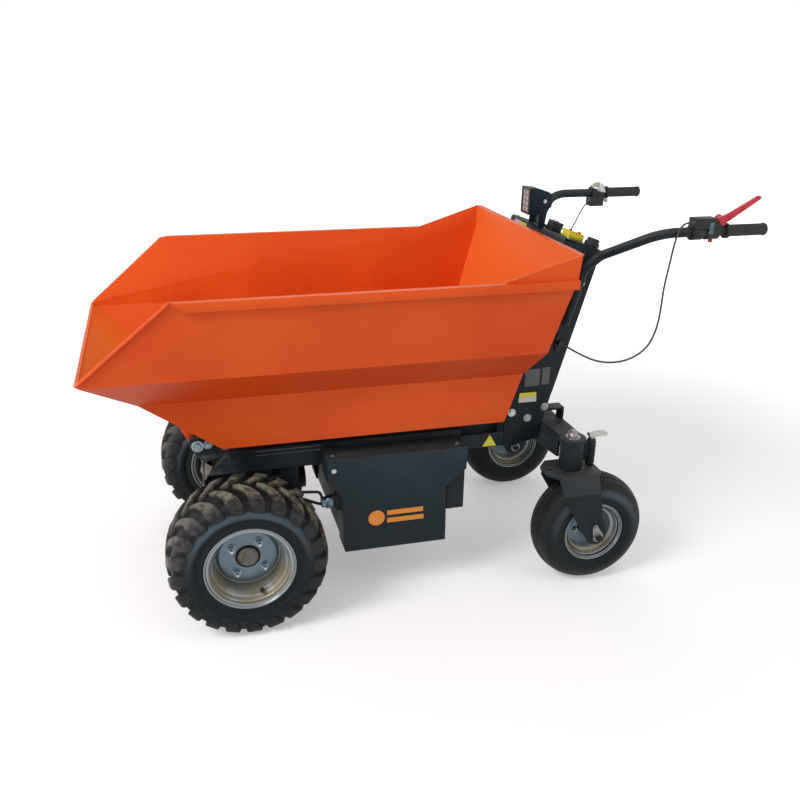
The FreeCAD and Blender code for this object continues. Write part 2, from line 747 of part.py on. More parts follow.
def handlebar(name, side):
    y = d.gripHalf * side
    points = [(-380, side * 193, 720), (-423, side * 193, 868), (-456, side * 212, 906),
              (-560, y, d.gripZ), (d.gripRear + 4, y, d.gripZ)]
    return shapePart(name, bentTube(points, [60, 60, 90], d.tubeBore, d.tubeBore - 5))


def grip(name, side):
    # moulded grip with a collar at its inner end, slipped over the bar's end
    body = newBody(name, (d.gripRear, side * d.gripHalf, d.gripZ))
    section = newSketch(body, "XZ")
    bore = d.tubeBore / 2 + 0.1
    outline(section, [(0, 0), (0, 15), (d.gripLong - 4, 15), (d.gripLong, 19), (d.gripLong + 8, 19),
                      (d.gripLong + 8, bore), (3, bore), (3, 0)])
    turned(body, section, "H_Axis")
    return body


def brakeClamp():
    # two-bolt clamp round the bar with the lever's housing on top
    body = newBody("brake_clamp", (-672, d.gripHalf, d.gripZ))
    for start, length in ((-42, 34), (4, 28)):
        rod(body, "YZ", (0, 0), 20, start, length)
    rod(body, "YZ", (0, 0), 16, -42, 76)
    block(body, (-42, -13, 10), (32, 20, 36))
    bore = newSketch(body, "YZ", -50)
    ring(bore, (0, 0), 12.6)
    pocket(body, bore, both=False, length=100, back=True)
    return body


def brakeLever():
    body = newBody("brake_lever", (-714, d.gripHalf, d.gripZ + 15))
    section = newSketch(body, "XZ")
    outline(section, [(0, 1), (0, 22), (-12, 22), (-32, 30), (-108, 71), (-114, 67), (-112, 62),
                      (-38, 15), (-28, 9), (-8, 1)])
    pad(body, section, 14, both=True)
    return body


def throttle():
    # thumb throttle: clamp ring, housing under the bar and a round charge gauge above it
    body = newBody("throttle", (-708, -d.gripHalf, d.gripZ))
    rod(body, "YZ", (0, 0), 20, -24, 46)
    block(body, (-21, -17, -40), (26, 17, -10))
    rod(body, "XY", (-1, 0), 21.5, 8, 22)
    bore = newSketch(body, "YZ", -30)
    ring(bore, (0, 0), 12.6)
    pocket(body, bore, both=False, length=60, back=True)
    return body


def headlight():
    # square work lamp with a tapered back on a U bracket that leans over the console's front edge
    body = newBody("headlight")
    shell = newSketch(body, "XZ", -38)
    outline(shell, [(-324, 985), (-324, 1056), (-352, 1053), (-377, 1045), (-388, 1038), (-388, 1004),
                    (-376, 997), (-350, 985)])
    pad(body, shell, 76)
    for side in (1, -1):
        sidePlate(body, [(-355, 1018), (-361, 1029), (-372, 1030), (-379, 1019), (-369, 951), (-349, 951)],
                  42, 3.9, side)
    block(body, (-369, -42, 951), (-349, 42, 955))
    return body


def consoleParts():
    # on the sloping console: key switch box, isolator and push button, in the slope's own frame
    slope = math.degrees(math.atan2(37.2, 104.4))
    body = newBody("console_controls", (-423.2, 0, 930.42), (Vector(0, 1, 0), -slope))
    block(body, (8, 14, 0), (40, 50, 27))
    block(body, (-18, 96, 0), (30, 136, 14))
    rod(body, "XY", (-33, 157), 20, 0, 12)
    rod(body, "XY", (-33, 157), 16.5, 12, 10)
    block(body, (-20, -120, 0), (22, -60, 6))
    return body


def cable(name, points, diameter):
    # limp cable along straight runs and tangent arcs
    points = [Vector(*p) for p in points]
    runs = [(q - p).Length for p, q in zip(points, points[1:])]
    radii = []
    for i in range(1, len(points) - 1):
        turn = (points[i] - points[i - 1]).getAngle(points[i + 1] - points[i])
        radii.append(0.45 * min(runs[i - 1], runs[i]) / math.tan(turn / 2))
    print(name, "length", round(sum(runs)), "runs", [round(r) for r in runs],
          "radii", [round(r) for r in radii])
    return shapePart(name, bentTube(points, radii, diameter))


# ---- everything ------------------------------------------------------------------------------

hopperTub()
tipEars()
hopperSubframe()
liftCylinder()
liftRod()
for name, side in sides.items():
    tyre("drive_tyre_" + name, d.driveRadius, d.driveWidth, d.driveRim, 2,
         (d.axleX, side * d.driveTrack / 2, d.driveRadius), 11)
    driveRim("drive_rim_" + name, side)
    driveHub("drive_hub_" + name, side)
    tyre("castor_tyre_" + name, d.castorRadius, d.castorWidth, d.castorRim, 5,
         (d.axleX - d.wheelBase, side * d.castorTrack / 2, d.castorRadius), 8)
    castorRim("castor_rim_" + name, side)
    castorFork("castor_fork_" + name, side)
    rail("rail_" + name, side)
    rearPlate("rear_plate_" + name, side)
    castorLock("castor_lock_" + name, side)
    batteryCover("battery_cover_" + name, side)
    handlebar("handlebar_" + name, side)
    grip("grip_" + name, side)
tipShaft()
frontBeam()
castorBeam()
driveAxle()
driveMotor()
axleCradle()
batteryCase()
column()
consoleTop()
brakeClamp()
brakeLever()
throttle()
headlight()
consoleParts()
cable("brake_cable", [(-639.6, 336, 1008), (-617, 335, 1010), (-598, 335, 997), (-589, 334, 960),
                      (-588, 326, 900), (-587, 316, 840), (-593, 307, 779), (-589, 305, 721),
                      (-571, 296, 667), (-528, 270, 628), (-471, 238, 619), (-417, 207, 641),
                      (-381, 188, 663)], 5)
cable("throttle_cable", [(-680.8, -318, 950), (-650, -276, 951), (-619, -228, 951), (-585, -178, 946),
                         (-551, -129, 935), (-516, -80, 925), (-484, -31, 921), (-455, 18, 921.5)], 4)

doc.recompute()
broken = [o.Name for o in doc.Objects if "Invalid" in o.State or "Error" in o.State]
for item in parts:
    if item.Shape.isNull() or not item.Shape.isValid():
        broken.append(item.Label)
if broken:
    raise RuntimeError("failed: " + ", ".join(broken))

os.makedirs("parts", exist_ok=True)
for item in parts:
    item.Shape.exportStep(os.path.join("parts", item.Label + ".step"))
print(len(parts), "parts written")
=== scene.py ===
import math
import bpy
import bmesh
from mathutils import Matrix, Vector


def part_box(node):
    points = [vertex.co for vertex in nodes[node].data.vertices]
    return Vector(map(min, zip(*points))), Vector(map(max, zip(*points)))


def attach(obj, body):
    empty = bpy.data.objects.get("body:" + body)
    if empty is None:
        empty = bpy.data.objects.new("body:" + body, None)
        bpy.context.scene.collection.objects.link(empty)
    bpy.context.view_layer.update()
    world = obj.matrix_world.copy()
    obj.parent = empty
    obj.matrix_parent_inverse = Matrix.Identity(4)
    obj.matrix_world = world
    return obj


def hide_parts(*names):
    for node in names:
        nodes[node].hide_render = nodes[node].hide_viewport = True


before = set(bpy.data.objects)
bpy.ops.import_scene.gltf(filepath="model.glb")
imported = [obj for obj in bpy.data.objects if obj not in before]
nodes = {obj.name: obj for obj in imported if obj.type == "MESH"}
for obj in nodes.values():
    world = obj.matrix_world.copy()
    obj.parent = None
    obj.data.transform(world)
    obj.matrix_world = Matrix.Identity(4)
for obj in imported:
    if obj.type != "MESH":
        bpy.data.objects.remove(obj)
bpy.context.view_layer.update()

scene = bpy.context.scene
sides = {"left": 1, "right": -1}
print("frame loaded:", len(nodes), "parts")


# node trees: Value lets a socket stand in arithmetic, Tree adds any node

def arithmetic(operation, turned=False):
    def act(self, other):
        return self.tree.add("Math", {"operation": operation},
                             {0: other, 1: self} if turned else {0: self, 1: other})
    return act


class Value:
    def __init__(self, tree, socket):
        self.tree, self.socket = tree, socket

    __add__ = __radd__ = arithmetic("ADD")
    __mul__ = __rmul__ = arithmetic("MULTIPLY")
    __sub__, __rsub__ = arithmetic("SUBTRACT"), arithmetic("SUBTRACT", True)
    __truediv__, __rtruediv__ = arithmetic("DIVIDE"), arithmetic("DIVIDE", True)
    __pow__ = arithmetic("POWER")

    def __abs__(self):
        return self.tree.add("Math", {"operation": "ABSOLUTE"}, {0: self})

    def sine(self):
        return self.tree.add("Math", {"operation": "SINE"}, {0: self})

    def clamped(self):
        return self.tree.add("Clamp", {}, {"Value": self})

    def between(self, low, high):
        # 0 at low, 1 at high, smooth in between
        return self.tree.add("MapRange", {"interpolation_type": "SMOOTHSTEP"},
                             {"Value": self, "From Min": low, "From Max": high})


class Tree:
    def __init__(self, tree):
        self.tree = tree

    def add(self, kind, settings=None, inputs=None, output=0):
        # any node: its settings first, then the values or links of its sockets;
        # shader nodes go by their short name
        node = self.tree.nodes.new(kind if "Node" in kind else "ShaderNode" + kind)
        for name, value in (settings or {}).items():
            setattr(node, name, value)
        for name, value in (inputs or {}).items():
            self.feed(node.inputs[name], value)
        return Value(self, node.outputs[output])

    def feed(self, socket, value):
        if isinstance(value, Value):
            self.tree.links.new(value.socket, socket)
        else:
            socket.default_value = value


# paint and rubber tones
paints = {
    "orange": (0.76, 0.094, 0.01), "orangeFrontLit": (0.86, 0.165, 0.028), "orangeDeep": (0.68, 0.068, 0.007),
    "orangeNoseLit": (1.0, 0.215, 0.026), "orangeShadedUnder": (0.47, 0.044, 0.006), "scratch": (0.34, 0.3, 0.27),
    "black": (0.0078, 0.0135, 0.018), "blackWorn": (0.0165, 0.025, 0.031),
    # the rails' lighter copy of the black: painted light
    "rail": (0.012, 0.0205, 0.027), "railLitWorn": (0.024, 0.034, 0.04),
    "cover": (0.0155, 0.027, 0.035), "coverPale": (0.029, 0.045, 0.056),
    "paleBlotchGrey": (0.115, 0.118, 0.114), "chip": (0.06, 0.058, 0.055), "dust": (0.105, 0.088, 0.062),
    "lit": (0.044, 0.05, 0.054),
    "rubber": (0.0042, 0.0068, 0.0084), "rubberPale": (0.0078, 0.0112, 0.013),
    "rubberPaintedSheen": (0.085, 0.115, 0.145), "rubberDustAndHighlight": (0.225, 0.22, 0.168), "ribDust": (0.05, 0.045, 0.03),
    "lugDark": (0.0075, 0.0085, 0.009), "lugBrown": (0.04, 0.036, 0.034), "lugPurpleFrontLight": (0.088, 0.07, 0.078),
    "lugFlank": (0.016, 0.02, 0.025), "grip": (0.011, 0.012, 0.012), "gripPale": (0.026, 0.027, 0.026),
    "silver": (0.25, 0.295, 0.32), "silverPale": (0.34, 0.385, 0.405), "silverLip": (0.195, 0.225, 0.235),
    "silverDirtAndReflection": (0.25, 0.2, 0.115), "disc": (0.1, 0.15, 0.185), "discPale": (0.15, 0.205, 0.245),
    "step": (0.03, 0.032, 0.034), "cable": (0.018, 0.01, 0.011), "cablePale": (0.045, 0.022, 0.022),
}


class Finish(Tree):
    # a procedural material around one Principled shader; color holds the layers so far
    sockets = {"color": "Base Color", "coat": "Coat Weight", "coatRoughness": "Coat Roughness",
               "glow": "Emission Color", "glowStrength": "Emission Strength",
               "specular": "Specular IOR Level"}

    def __init__(self, name, **constants):
        self.material = bpy.data.materials.new(name)
        self.material.use_nodes = True
        super().__init__(self.material.node_tree)
        self.place = self.add("TexCoord", output=3)
        self.done(**constants)

    def done(self, **inputs):
        for name, value in inputs.items():
            socket = self.tree.nodes["Principled BSDF"].inputs[self.sockets.get(name, name.title())]
            self.feed(socket, value)
        return self.material

    def noise(self, scale, detail=4.0, rough=0.55, stretch=None):
        spot = self.place
        if stretch:
            spot = self.add("Mapping", {}, {"Vector": spot, "Scale": stretch})
        return self.add("TexNoise", {}, {"Vector": spot, "Scale": scale, "Detail": detail,
                                         "Roughness": rough})

    def mix(self, mask, first, second):
        # a tone is a name from paints, three numbers or another mix
        tones = [paints.get(tone, tone) if isinstance(tone, str) else tone for tone in (first, second)]
        first, second = [(*tone, 1) if isinstance(tone, tuple) else tone for tone in tones]
        return self.add("Mix", {"data_type": "RGBA"}, {0: mask, 6: first, 7: second}, output=2)

    def layer(self, mask, tone):
        self.color = self.mix(mask, self.color, tone)

    def parts(self, vector, names):
        outs = self.add("SeparateXYZ", {}, {"Vector": vector}).socket.node.outputs
        return [Value(self, outs[name.upper()]) for name in names]

    def axes(self, names="xyz"):
        return self.parts(self.place, names)

    def facing(self, names="z"):
        # how far the surface looks along an axis: 1 up, -1 down for z
        return self.parts(self.add("NewGeometry", output=1), names)

    def bump(self, height, depth, strength):
        return self.add("Bump", {}, {"Height": height, "Distance": depth, "Strength": strength})


def orangePaint():
    f = Finish("orangePowderCoat", coatRoughness=0.2, specular=0.16)
    broad, fine, peel = f.noise(3.0, 3), f.noise(900, 2), f.noise(260, 2)
    x, z = f.axes("xz")
    ahead, rise = f.facing("xz")
    f.color = f.mix(broad.between(0.35, 0.7), "orange", "orangeDeep")
    # painted light: faces turned to the front are paler orange
    f.layer(ahead.between(0.45, 0.9) * (0.6 + 0.4 * broad), "orangeFrontLit")
    # painted light makes the nose's floor paler, painted shade makes the fold along the side deeper where it
    # turns under
    litNoseFloor = x.between(0.56, 0.68) * rise.between(0.1, 0.4) * ahead.between(-0.2, -0.4)
    under = rise.between(-0.18, -0.4)
    f.layer(litNoseFloor, "orangeNoseLit")
    f.layer(under * 0.7, "orangeShadedUnder")
    # scuffs where the load slides: inside the tub, low down and towards the lip
    inside = rise.between(0.1, 0.5) * z.between(0.9, 0.47) * (1.0 - litNoseFloor * 0.8)
    streaks = f.noise(60, 6, 0.7, stretch=(0.25, 3, 1)).between(0.6, 0.72) * inside
    f.layer(streaks * 0.75, "scratch")
    f.layer(f.noise(14, 5).between(0.5, 0.75) * inside * 0.35, "dust")
    return f.done(color=f.color, roughness=0.36 + 0.1 * broad + 0.25 * streaks,
                  coat=(0.07 - 0.05 * streaks) * (1.0 - under),
                  normal=f.bump(peel + fine * 0.3 - streaks * 0.8, 0.00025, 0.45))


def darkPaint(name, tone, worn, rough=0.42, grain=0.0003, dust=0.42, pale=None, paleSpan=None):
    # textured powder coat, a painted highlight where it slants upwards, with brown dust on what faces up
    f = Finish(name, specular=0.15)
    broad, grit = f.noise(6, 4), f.noise(1100, 2, 0.6)
    x, z = f.axes("xz")
    [rise] = f.facing()
    f.color = f.mix(broad.between(0.35, 0.75), tone, worn)
    # painted shade: with pale given, darker towards the bottom below that range of height
    if pale:
        f.color = f.mix(z.between(*pale), tuple(c * 0.8 for c in paints[tone]), f.color)
    if paleSpan:
        # paler grey blotches over the given span along x, fading out above 0.426 m
        paleBlotches = f.noise(26, 6, 0.7, stretch=(0.4, 1, 1)).between(0.38, 0.62)
        f.layer(x.between(*paleSpan) * z.between(0.438, 0.426) * paleBlotches * 0.9, "paleBlotchGrey")
    # painted highlight on what slants upwards
    f.layer(rise.between(0.12, 0.38) * 0.65, "lit")
    dusty = f.noise(24, 6, 0.6).between(0.36, 0.7) * rise.between(0.45, 0.95)
    f.layer(dusty * dust, "dust")
    f.layer(f.noise(95, 5, 0.7).between(0.735, 0.76) * 0.5, "chip")
    return f.done(color=f.color, roughness=rough + broad * 0.12 + dusty * 0.2,
                  normal=f.bump(grit, grain, 0.6))


def wheelPlace(f, centre):
    # distance from the axle, distance from the wheel's middle plane, place ahead of and over the axle
    x, y, z = f.axes()
    ahead, high = x - centre[0], z - centre[2]
    return (ahead ** 2.0 + high ** 2.0) ** 0.5, abs(y - centre[1]), ahead, high


def tyreRubber(name, centre, tread, sheen, ribbed=False):
    # black wall, a painted bluish sheen round the shoulder, dust towards the tread
    f = Finish(name, specular=0.17)
    reach, out, ahead, high = wheelPlace(f, centre)
    cloud, grit = f.noise(22, 6, 0.65), f.noise(420, 3, 0.6)
    f.color = f.mix(cloud, "rubber", "rubberPale")
    # painted sheen: a bluish band round the shoulder, strongest over the axle
    sheenBand = reach.between(sheen[0], sheen[1]) * reach.between(sheen[3], sheen[2])
    f.layer(sheenBand * high.between(-0.04, 0.13) * (0.35 + 0.65 * cloud), "rubberPaintedSheen")
    crown = reach.between(tread - 0.03, tread - 0.008)
    dusty = (crown * cloud.between(0.45, 0.75) * (0.08 if ribbed else 0.14)).clamped()
    f.layer(dusty, "rubberDustAndHighlight")
    if ribbed:
        ribs = (out * 1180.0).sine().between(0.55, 0.98) * reach.between(tread - 0.022, tread - 0.012)
        f.layer(ribs * (0.1 + 0.5 * cloud), "ribDust")
    lines = (reach * 1300.0).sine() * (1.0 - crown) * 0.25
    return f.done(color=f.color, roughness=0.52 - 0.12 * sheenBand + dusty * 0.3,
                  normal=f.bump(grit + lines, 0.0006, 0.7))


def lugRubber(name, centre, dusty):
    # lugs: purplish brown painted light towards the front, dust and a painted highlight on top, near black
    # flanks and painted shade lower down
    f = Finish(name, specular=0.22)
    reach, out, ahead, high = wheelPlace(f, centre)
    cloud, grit = f.noise(46, 8, 0.75), f.noise(420, 3, 0.6)
    f.color = f.mix(cloud.between(0.36, 0.64), "lugDark", "lugBrown")
    # lug tops: dust and a painted highlight
    top = reach.between(0.1895, 0.2025) * (0.15 + cloud.between(0.4, 0.6))
    f.layer((top * (0.9 * dusty)).clamped(), "rubberDustAndHighlight")
    # painted light: a purplish tint on the lugs ahead of the axle
    front = ahead.between(0.02, 0.12) * high.between(-0.05, 0.06) * cloud.between(0.4, 0.6)
    f.layer(front * (0.6 * dusty), "lugPurpleFrontLight")
    f.layer(reach.between(0.18, 0.162) * 0.75, "lugFlank")
    # painted shade: the lugs below the axle darker
    f.layer(high.between(0.02, -0.1) * 0.85, "rubberPale")
    return f.done(color=f.color, roughness=0.46 + 0.25 * cloud, normal=f.bump(grit, 0.0006, 0.7))


def silverRim(name, centre, rim, well, disc):
    # silver paint: pale lip, bluish disc, a golden painted reflection low in the barrel with dirt patches,
    # painted shade in the step
    f = Finish(name, metallic=0.6, coatRoughness=0.25)
    reach, out, ahead, high = wheelPlace(f, centre)
    cloud = f.noise(16, 5, 0.6)
    f.color = f.mix(cloud, "silver", "silverPale")
    f.layer(reach.between(rim - 0.0085, rim - 0.0055), "silverLip")
    f.layer(reach.between(disc + 0.003, disc - 0.002), f.mix(cloud, "disc", "discPale"))
    # painted reflection: a golden tint low in the barrel, with random dirt patches
    low = (high.between(0.02, -0.05) * reach.between(disc, disc + 0.008)
           * reach.between(rim - 0.006, rim - 0.014))
    dirtAndReflection = (low * (0.45 + cloud.between(0.35, 0.6)) + cloud.between(0.62, 0.8) * 0.3).clamped()
    f.layer(dirtAndReflection * 0.8, "silverDirtAndReflection")
    # painted shade: a dark ring in the step at the well
    f.layer(reach.between(well - 0.003, well) * reach.between(well + 0.006, well + 0.003) * 0.5, "step")
    return f.done(color=f.color, roughness=0.34 + dirtAndReflection * 0.25, coat=0.25 - dirtAndReflection * 0.25,
                  normal=f.bump(f.noise(500, 2), 0.0002, 0.5))


def plated(name, tone, warm, rough=0.28):
    # zinc or nickel plate with faint tarnish
    f = Finish(name, specular=0.5)
    cloud = f.noise(70, 4, 0.6)
    return f.done(color=f.mix(cloud.between(0.4, 0.65), tone, warm), metallic=1.0,
                  roughness=rough + 0.2 * f.noise(160, 3).between(0.4, 0.7),
                  normal=f.bump(f.noise(900, 2), 0.0001, 0.6))


def moulded(name, tone, pale, rough=0.45, coat=0.0):
    f = Finish(name, specular=0.28)
    cloud = f.noise(30, 4)
    skin = f.add("TexVoronoi", {}, {"Vector": f.place, "Scale": 900})
    return f.done(color=f.mix(cloud.between(0.35, 0.7), tone, pale), roughness=rough + 0.12 * cloud,
                  coat=coat, normal=f.bump(skin, 0.00015, 0.5))


def labelFilm(name, tone, edge):
    # a blank printed film with slightly dirty edges
    f = Finish(name, specular=0.5)
    cloud = f.noise(45, 5, 0.6)
    return f.done(color=f.mix(cloud.between(0.5, 0.8) * 0.6, tone, edge), roughness=0.35 + 0.2 * cloud,
                  normal=f.bump(cloud, 0.0001, 0.4))


def castIron(name, tone):
    f = Finish(name, specular=0.4)
    lumps, grit = f.noise(160, 4, 0.6), f.noise(700, 2)
    return f.done(color=f.mix(lumps.between(0.4, 0.7), tone, tuple(c * 1.9 for c in tone)),
                  roughness=0.62 + 0.15 * grit, normal=f.bump(lumps + grit * 0.4, 0.0007, 0.7))


def gripRubber():
    f = Finish("gripRubber", specular=0.35)
    x, z = f.axes("xz")
    ridges = ((x * 1400.0).sine() * 0.5 + 0.5) * z.between(0.972, 0.985)
    return f.done(color=f.mix(f.noise(60, 5), "grip", "gripPale"), roughness=0.66 + 0.1 * ridges,
                  normal=f.bump(ridges + f.noise(1200, 2) * 0.3, 0.0004, 0.8))


def cableSheath():
    f = Finish("cableSheath", specular=0.5)
    return f.done(color=f.mix(f.noise(40, 4), "cable", "cablePale"), roughness=0.42 + 0.1 * f.noise(80),
                  normal=f.bump(f.noise(600, 2), 0.0001, 0.5))


def middle(node):
    low, high = [Vector(c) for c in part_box(node)]
    return (low + high) / 2


finishes = {
    "orange": orangePaint(),
    "black": darkPaint("blackPowderCoat", "black", "blackWorn"),
    # painted light: the rails get a lighter copy of the black powder coat
    "rail": darkPaint("railPowderCoat", "rail", "railLitWorn", paleSpan=(0.47, 0.575)),
    # painted shade on the covers below 0.22 m, fading out by 0.4 m
    "cover": darkPaint("greyTexturedCoat", "cover", "coverPale", 0.46, grain=0.0004, dust=0.12,
                       pale=(0.22, 0.4)),
    # painted shade: the battery case gets the black tones though it has the grey paint
    "caseBlack": darkPaint("caseCoat", "black", "blackWorn", dust=0.1),
    "lampBody": darkPaint("lampCasting", (0.004, 0.011, 0.021), (0.009, 0.019, 0.032), 0.38),
    "lampFrame": darkPaint("lampFramePaint", (0.022, 0.012, 0.011), (0.034, 0.02, 0.018), 0.34),
    "zinc": plated("zincPlate", (0.48, 0.5, 0.52), (0.42, 0.4, 0.35)),
    "blueZinc": plated("blueZincPlate", (0.2, 0.28, 0.36), (0.34, 0.38, 0.42), 0.26),
    "chrome": plated("chromePlate", (0.75, 0.76, 0.78), (0.7, 0.71, 0.73), 0.1),
    "hubSteel": plated("turnedHubSteel", (0.15, 0.146, 0.135), (0.11, 0.095, 0.075), 0.4),
    "plugBlue": plated("bluedPlug", (0.085, 0.15, 0.215), (0.19, 0.24, 0.28), 0.3),
    "steelBlue": plated("bluedSteel", (0.06, 0.095, 0.13), (0.1, 0.13, 0.15), 0.34),
    "dullZinc": plated("dullZincPlate", (0.24, 0.245, 0.235), (0.33, 0.32, 0.29), 0.34),
    "cast": castIron("paintedCasting", (0.014, 0.015, 0.017)),
    "plastic": moulded("blackPlastic", (0.01, 0.011, 0.012), (0.02, 0.021, 0.022)),
    "red": moulded("redLeverPlastic", (0.5, 0.014, 0.03), (0.6, 0.03, 0.045), 0.36, 0.15),
    "yellow": moulded("yellowPlastic", (0.72, 0.56, 0.018), (0.78, 0.63, 0.05), 0.38, 0.1),
    "paleGauge": moulded("gaugeFace", (0.34, 0.33, 0.24), (0.52, 0.51, 0.42), 0.25, 0.2),
    # pale strips on the folded edges: a painted highlight
    "lip": moulded("foldedEdgePale", (0.125, 0.138, 0.145), (0.17, 0.18, 0.185), 0.5),
    # a pale grey-beige film for the rail's mitred front
    "bareEdge": moulded("scuffedEdge", (0.14, 0.13, 0.115), (0.3, 0.28, 0.25), 0.5),
    "lampGlass": moulded("lampGlassDark", (0.03, 0.018, 0.017), (0.045, 0.028, 0.026), 0.1, 0.3),
    "reflector": moulded("lampReflector", (0.3, 0.19, 0.17), (0.42, 0.31, 0.28), 0.22, 0.4),
    "signYellow": labelFilm("blankYellowFilm", (0.8, 0.7, 0.05), (0.52, 0.44, 0.06)),
    "signWhite": labelFilm("blankWhiteFilm", (0.62, 0.62, 0.58), (0.4, 0.38, 0.33)),
    "signOrange": labelFilm("blankOrangeFilm", (0.74, 0.255, 0.018), (0.56, 0.18, 0.02)),
    "signGrey": labelFilm("blankGreyFilm", (0.075, 0.078, 0.08), (0.045, 0.046, 0.047)),
    "grip": gripRubber(),
    "cable": cableSheath(),
}
# the material slot named for each finish, though no piece is given its slot from this table here; finishes
# not named here are added details without one
slotOf = {
    "orange": "orange_paint", "black": "black_paint", "rail": "black_paint", "cover": "grey_paint",
    "caseBlack": "grey_paint", "lampBody": "lamp_black", "lampFrame": "lamp_black",
    "plastic": "black_plastic", "red": "red_plastic", "grip": "grip_rubber", "cast": "cast_grey",
    "cable": "cable_sheath",
    **dict.fromkeys(("zinc", "blueZinc", "hubSteel", "steelBlue", "dullZinc"), "bare_steel"),
}
finishes["consoleCover"], slotOf["consoleCover"] = finishes["cover"], "black_paint"
for name in sides:
    drive, castor = middle("drive_rim_" + name), middle("castor_rim_" + name)
    wheelFinishes = {
        "driveTyre": tyreRubber("driveTyreRubber_" + name, drive, tread=0.203,
                                sheen=(0.138, 0.148, 0.154, 0.166)),
        # the far wheel's lugs get less dust, painted highlight and painted front light: painted shade on the
        # far wheel
        "driveLug": lugRubber("driveLugRubber_" + name, drive, dusty=1.0 if name == "left" else 0.4),
        "castorTyre": tyreRubber("castorTyreRubber_" + name, castor, tread=0.1595,
                                 sheen=(0.104, 0.118, 0.122, 0.138), ribbed=True),
        "driveRim": silverRim("driveRimSilver_" + name, drive, rim=0.1147, well=0.0885, disc=0.0775),
        "castorRim": silverRim("castorRimSilver_" + name, castor, rim=0.087, well=0.07, disc=0.058),
    }
    for kind, material in wheelFinishes.items():
        finishes[kind + name] = material
        slotOf[kind + name] = "rim_silver" if "Rim" in kind else "tyre_rubber"
print("materials made:", len(finishes))


# solids: each is a list of rings of points; a first ring that is also the last closes the loop

def circle(centre, across, other, radius, steps):
    return [centre + (across * math.cos(a) + other * math.sin(a)) * radius
            for a in (math.tau * i / steps for i in range(steps))]


def bar(start, end, radius, steps=24, endRadius=None):
    start, end = Vector(start), Vector(end)
    turn = (end - start).to_track_quat("Z", "Y").to_matrix()
    return [circle(spot, turn.col[0], turn.col[1], r, steps)
            for spot, r in ((start, radius), (end, endRadius or radius))]


def stack(start, way, *steps):
    # round bars end to end from a spot along a way, each (from, to, radius, sides[, end radius])
    start, way = Vector(start), Vector(way)
    return [bar(start + way * low, start + way * high, *size) for low, high, *size in steps]


def flared(start, way, sides, *rings):
    # one round bar through rings along a way, each (how far, radius)
    start, way = Vector(start), Vector(way)
    turn = way.to_track_quat("Z", "Y").to_matrix()
    return [circle(start + way * far, turn.col[0], turn.col[1], radius, sides) for far, radius in rings]


def prism(points, step):
    points = [Vector(p) for p in points]
    return [points, [p + Vector(step) for p in points]]


def slab(low, high):
    (x0, y0, z0), (x1, y1, z1) = low, high
    return prism([(x0, y0, z0), (x1, y0, z0), (x1, y1, z0), (x0, y1, z0)], (0, 0, z1 - z0))


def turned(profile, centre, steps=64, side=1):
    # closed profile of (radius, across) turned about the Y axis through centre
    rings = []
    for i in range(steps):
        angle = math.tau * i / steps
        rings.append([Vector((r * math.cos(angle), side * v, r * math.sin(angle))) + Vector(centre)
                      for r, v in profile])
    return rings + rings[:1]


def mirrored(profile):
    return [(r, -v) for r, v in reversed(profile)]


def tube(points, radius, steps=12):
    # closed tube through points, turned with the path
    points = [Vector(p) for p in points]
    rings, across = [], None
    for i, spot in enumerate(points):
        ahead = (points[min(i + 1, len(points) - 1)] - points[max(i - 1, 0)]).normalized()
        across = across or ahead.orthogonal()
        across = (across - ahead * across.dot(ahead)).normalized()
        rings.append(circle(spot, across, ahead.cross(across), radius, steps))
    return rings


def smoothed(route, steps=6):
    # points along a soft curve through the route
    route = [Vector(p) for p in route]
    ends = [route[0] * 2 - route[1]] + route + [route[-1] * 2 - route[-2]]
    out = []
    for a, b, c, d in zip(ends, ends[1:], ends[2:], ends[3:]):
        for t in (i / steps for i in range(steps)):
            out.append(0.5 * (2 * b + (c - a) * t + (2 * a - 5 * b + 4 * c - d) * t ** 2
                              + (3 * b - a - 3 * c + d) * t ** 3))
    return out + [route[-1]]


# pieces

def meshOf(name, *solids, edge=None, sharp=0.5, outward=False, smooth=35):
    # edge is (width, segments) for rounding off what is sharper than sharp; outward turns the faces first
    form = bmesh.new()
    for rings in solids:
        looped = rings[0] is rings[-1]
        rows = [[form.verts.new(p) for p in ring] for ring in rings[:len(rings) - looped]]
        if not looped:
            form.faces.new(rows[0])
            form.faces.new(rows[-1])
        for here, there in zip(rows, rows[1:] + rows[:looped]):
            for k in range(len(here)):
                form.faces.new((here[k - 1], here[k], there[k], there[k - 1]))
    if outward:
        bmesh.ops.recalc_face_normals(form, faces=form.faces)
    if edge:
        form.normal_update()
        bmesh.ops.bevel(form, geom=[e for e in form.edges if e.is_manifold and e.calc_face_angle(0) > sharp],
                        offset=edge[0], segments=edge[1], affect="EDGES", clamp_overlap=True)
    bmesh.ops.remove_doubles(form, verts=form.verts, dist=1e-6)
    bmesh.ops.recalc_face_normals(form, faces=form.faces)
    for face in form.faces:
        face.smooth = True
    for line in form.edges:
        line.smooth = line.is_manifold and line.calc_face_angle(0) < math.radians(smooth)
    mesh = bpy.data.meshes.new(name)
    form.to_mesh(mesh)
    form.free()
    return mesh


def addPiece(name, mesh, finish, body="chassis", node=None):
    piece = bpy.data.objects.new(name, mesh)
    scene.collection.objects.link(piece)
    mesh.materials.clear()
    mesh.materials.append(finishes[finish])
    mesh.polygons.foreach_set("material_index", [0] * len(mesh.polygons))
    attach(piece, body)
    finish in slotOf
    if node:
        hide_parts(node)


def piece(name, finish, *solids, body="chassis", node=None, **form):
    addPiece(name, meshOf(name, *solids, **form), finish, body, node)


def plain(holder):
    # the holder's modifiers worked out to a plain mesh, and the holder removed
    bpy.context.view_layer.update()
    graph = bpy.context.evaluated_depsgraph_get()
    mesh = bpy.data.meshes.new_from_object(holder.evaluated_get(graph), preserve_all_data_layers=True,
                                           depsgraph=graph)
    bpy.data.objects.remove(holder)
    return mesh


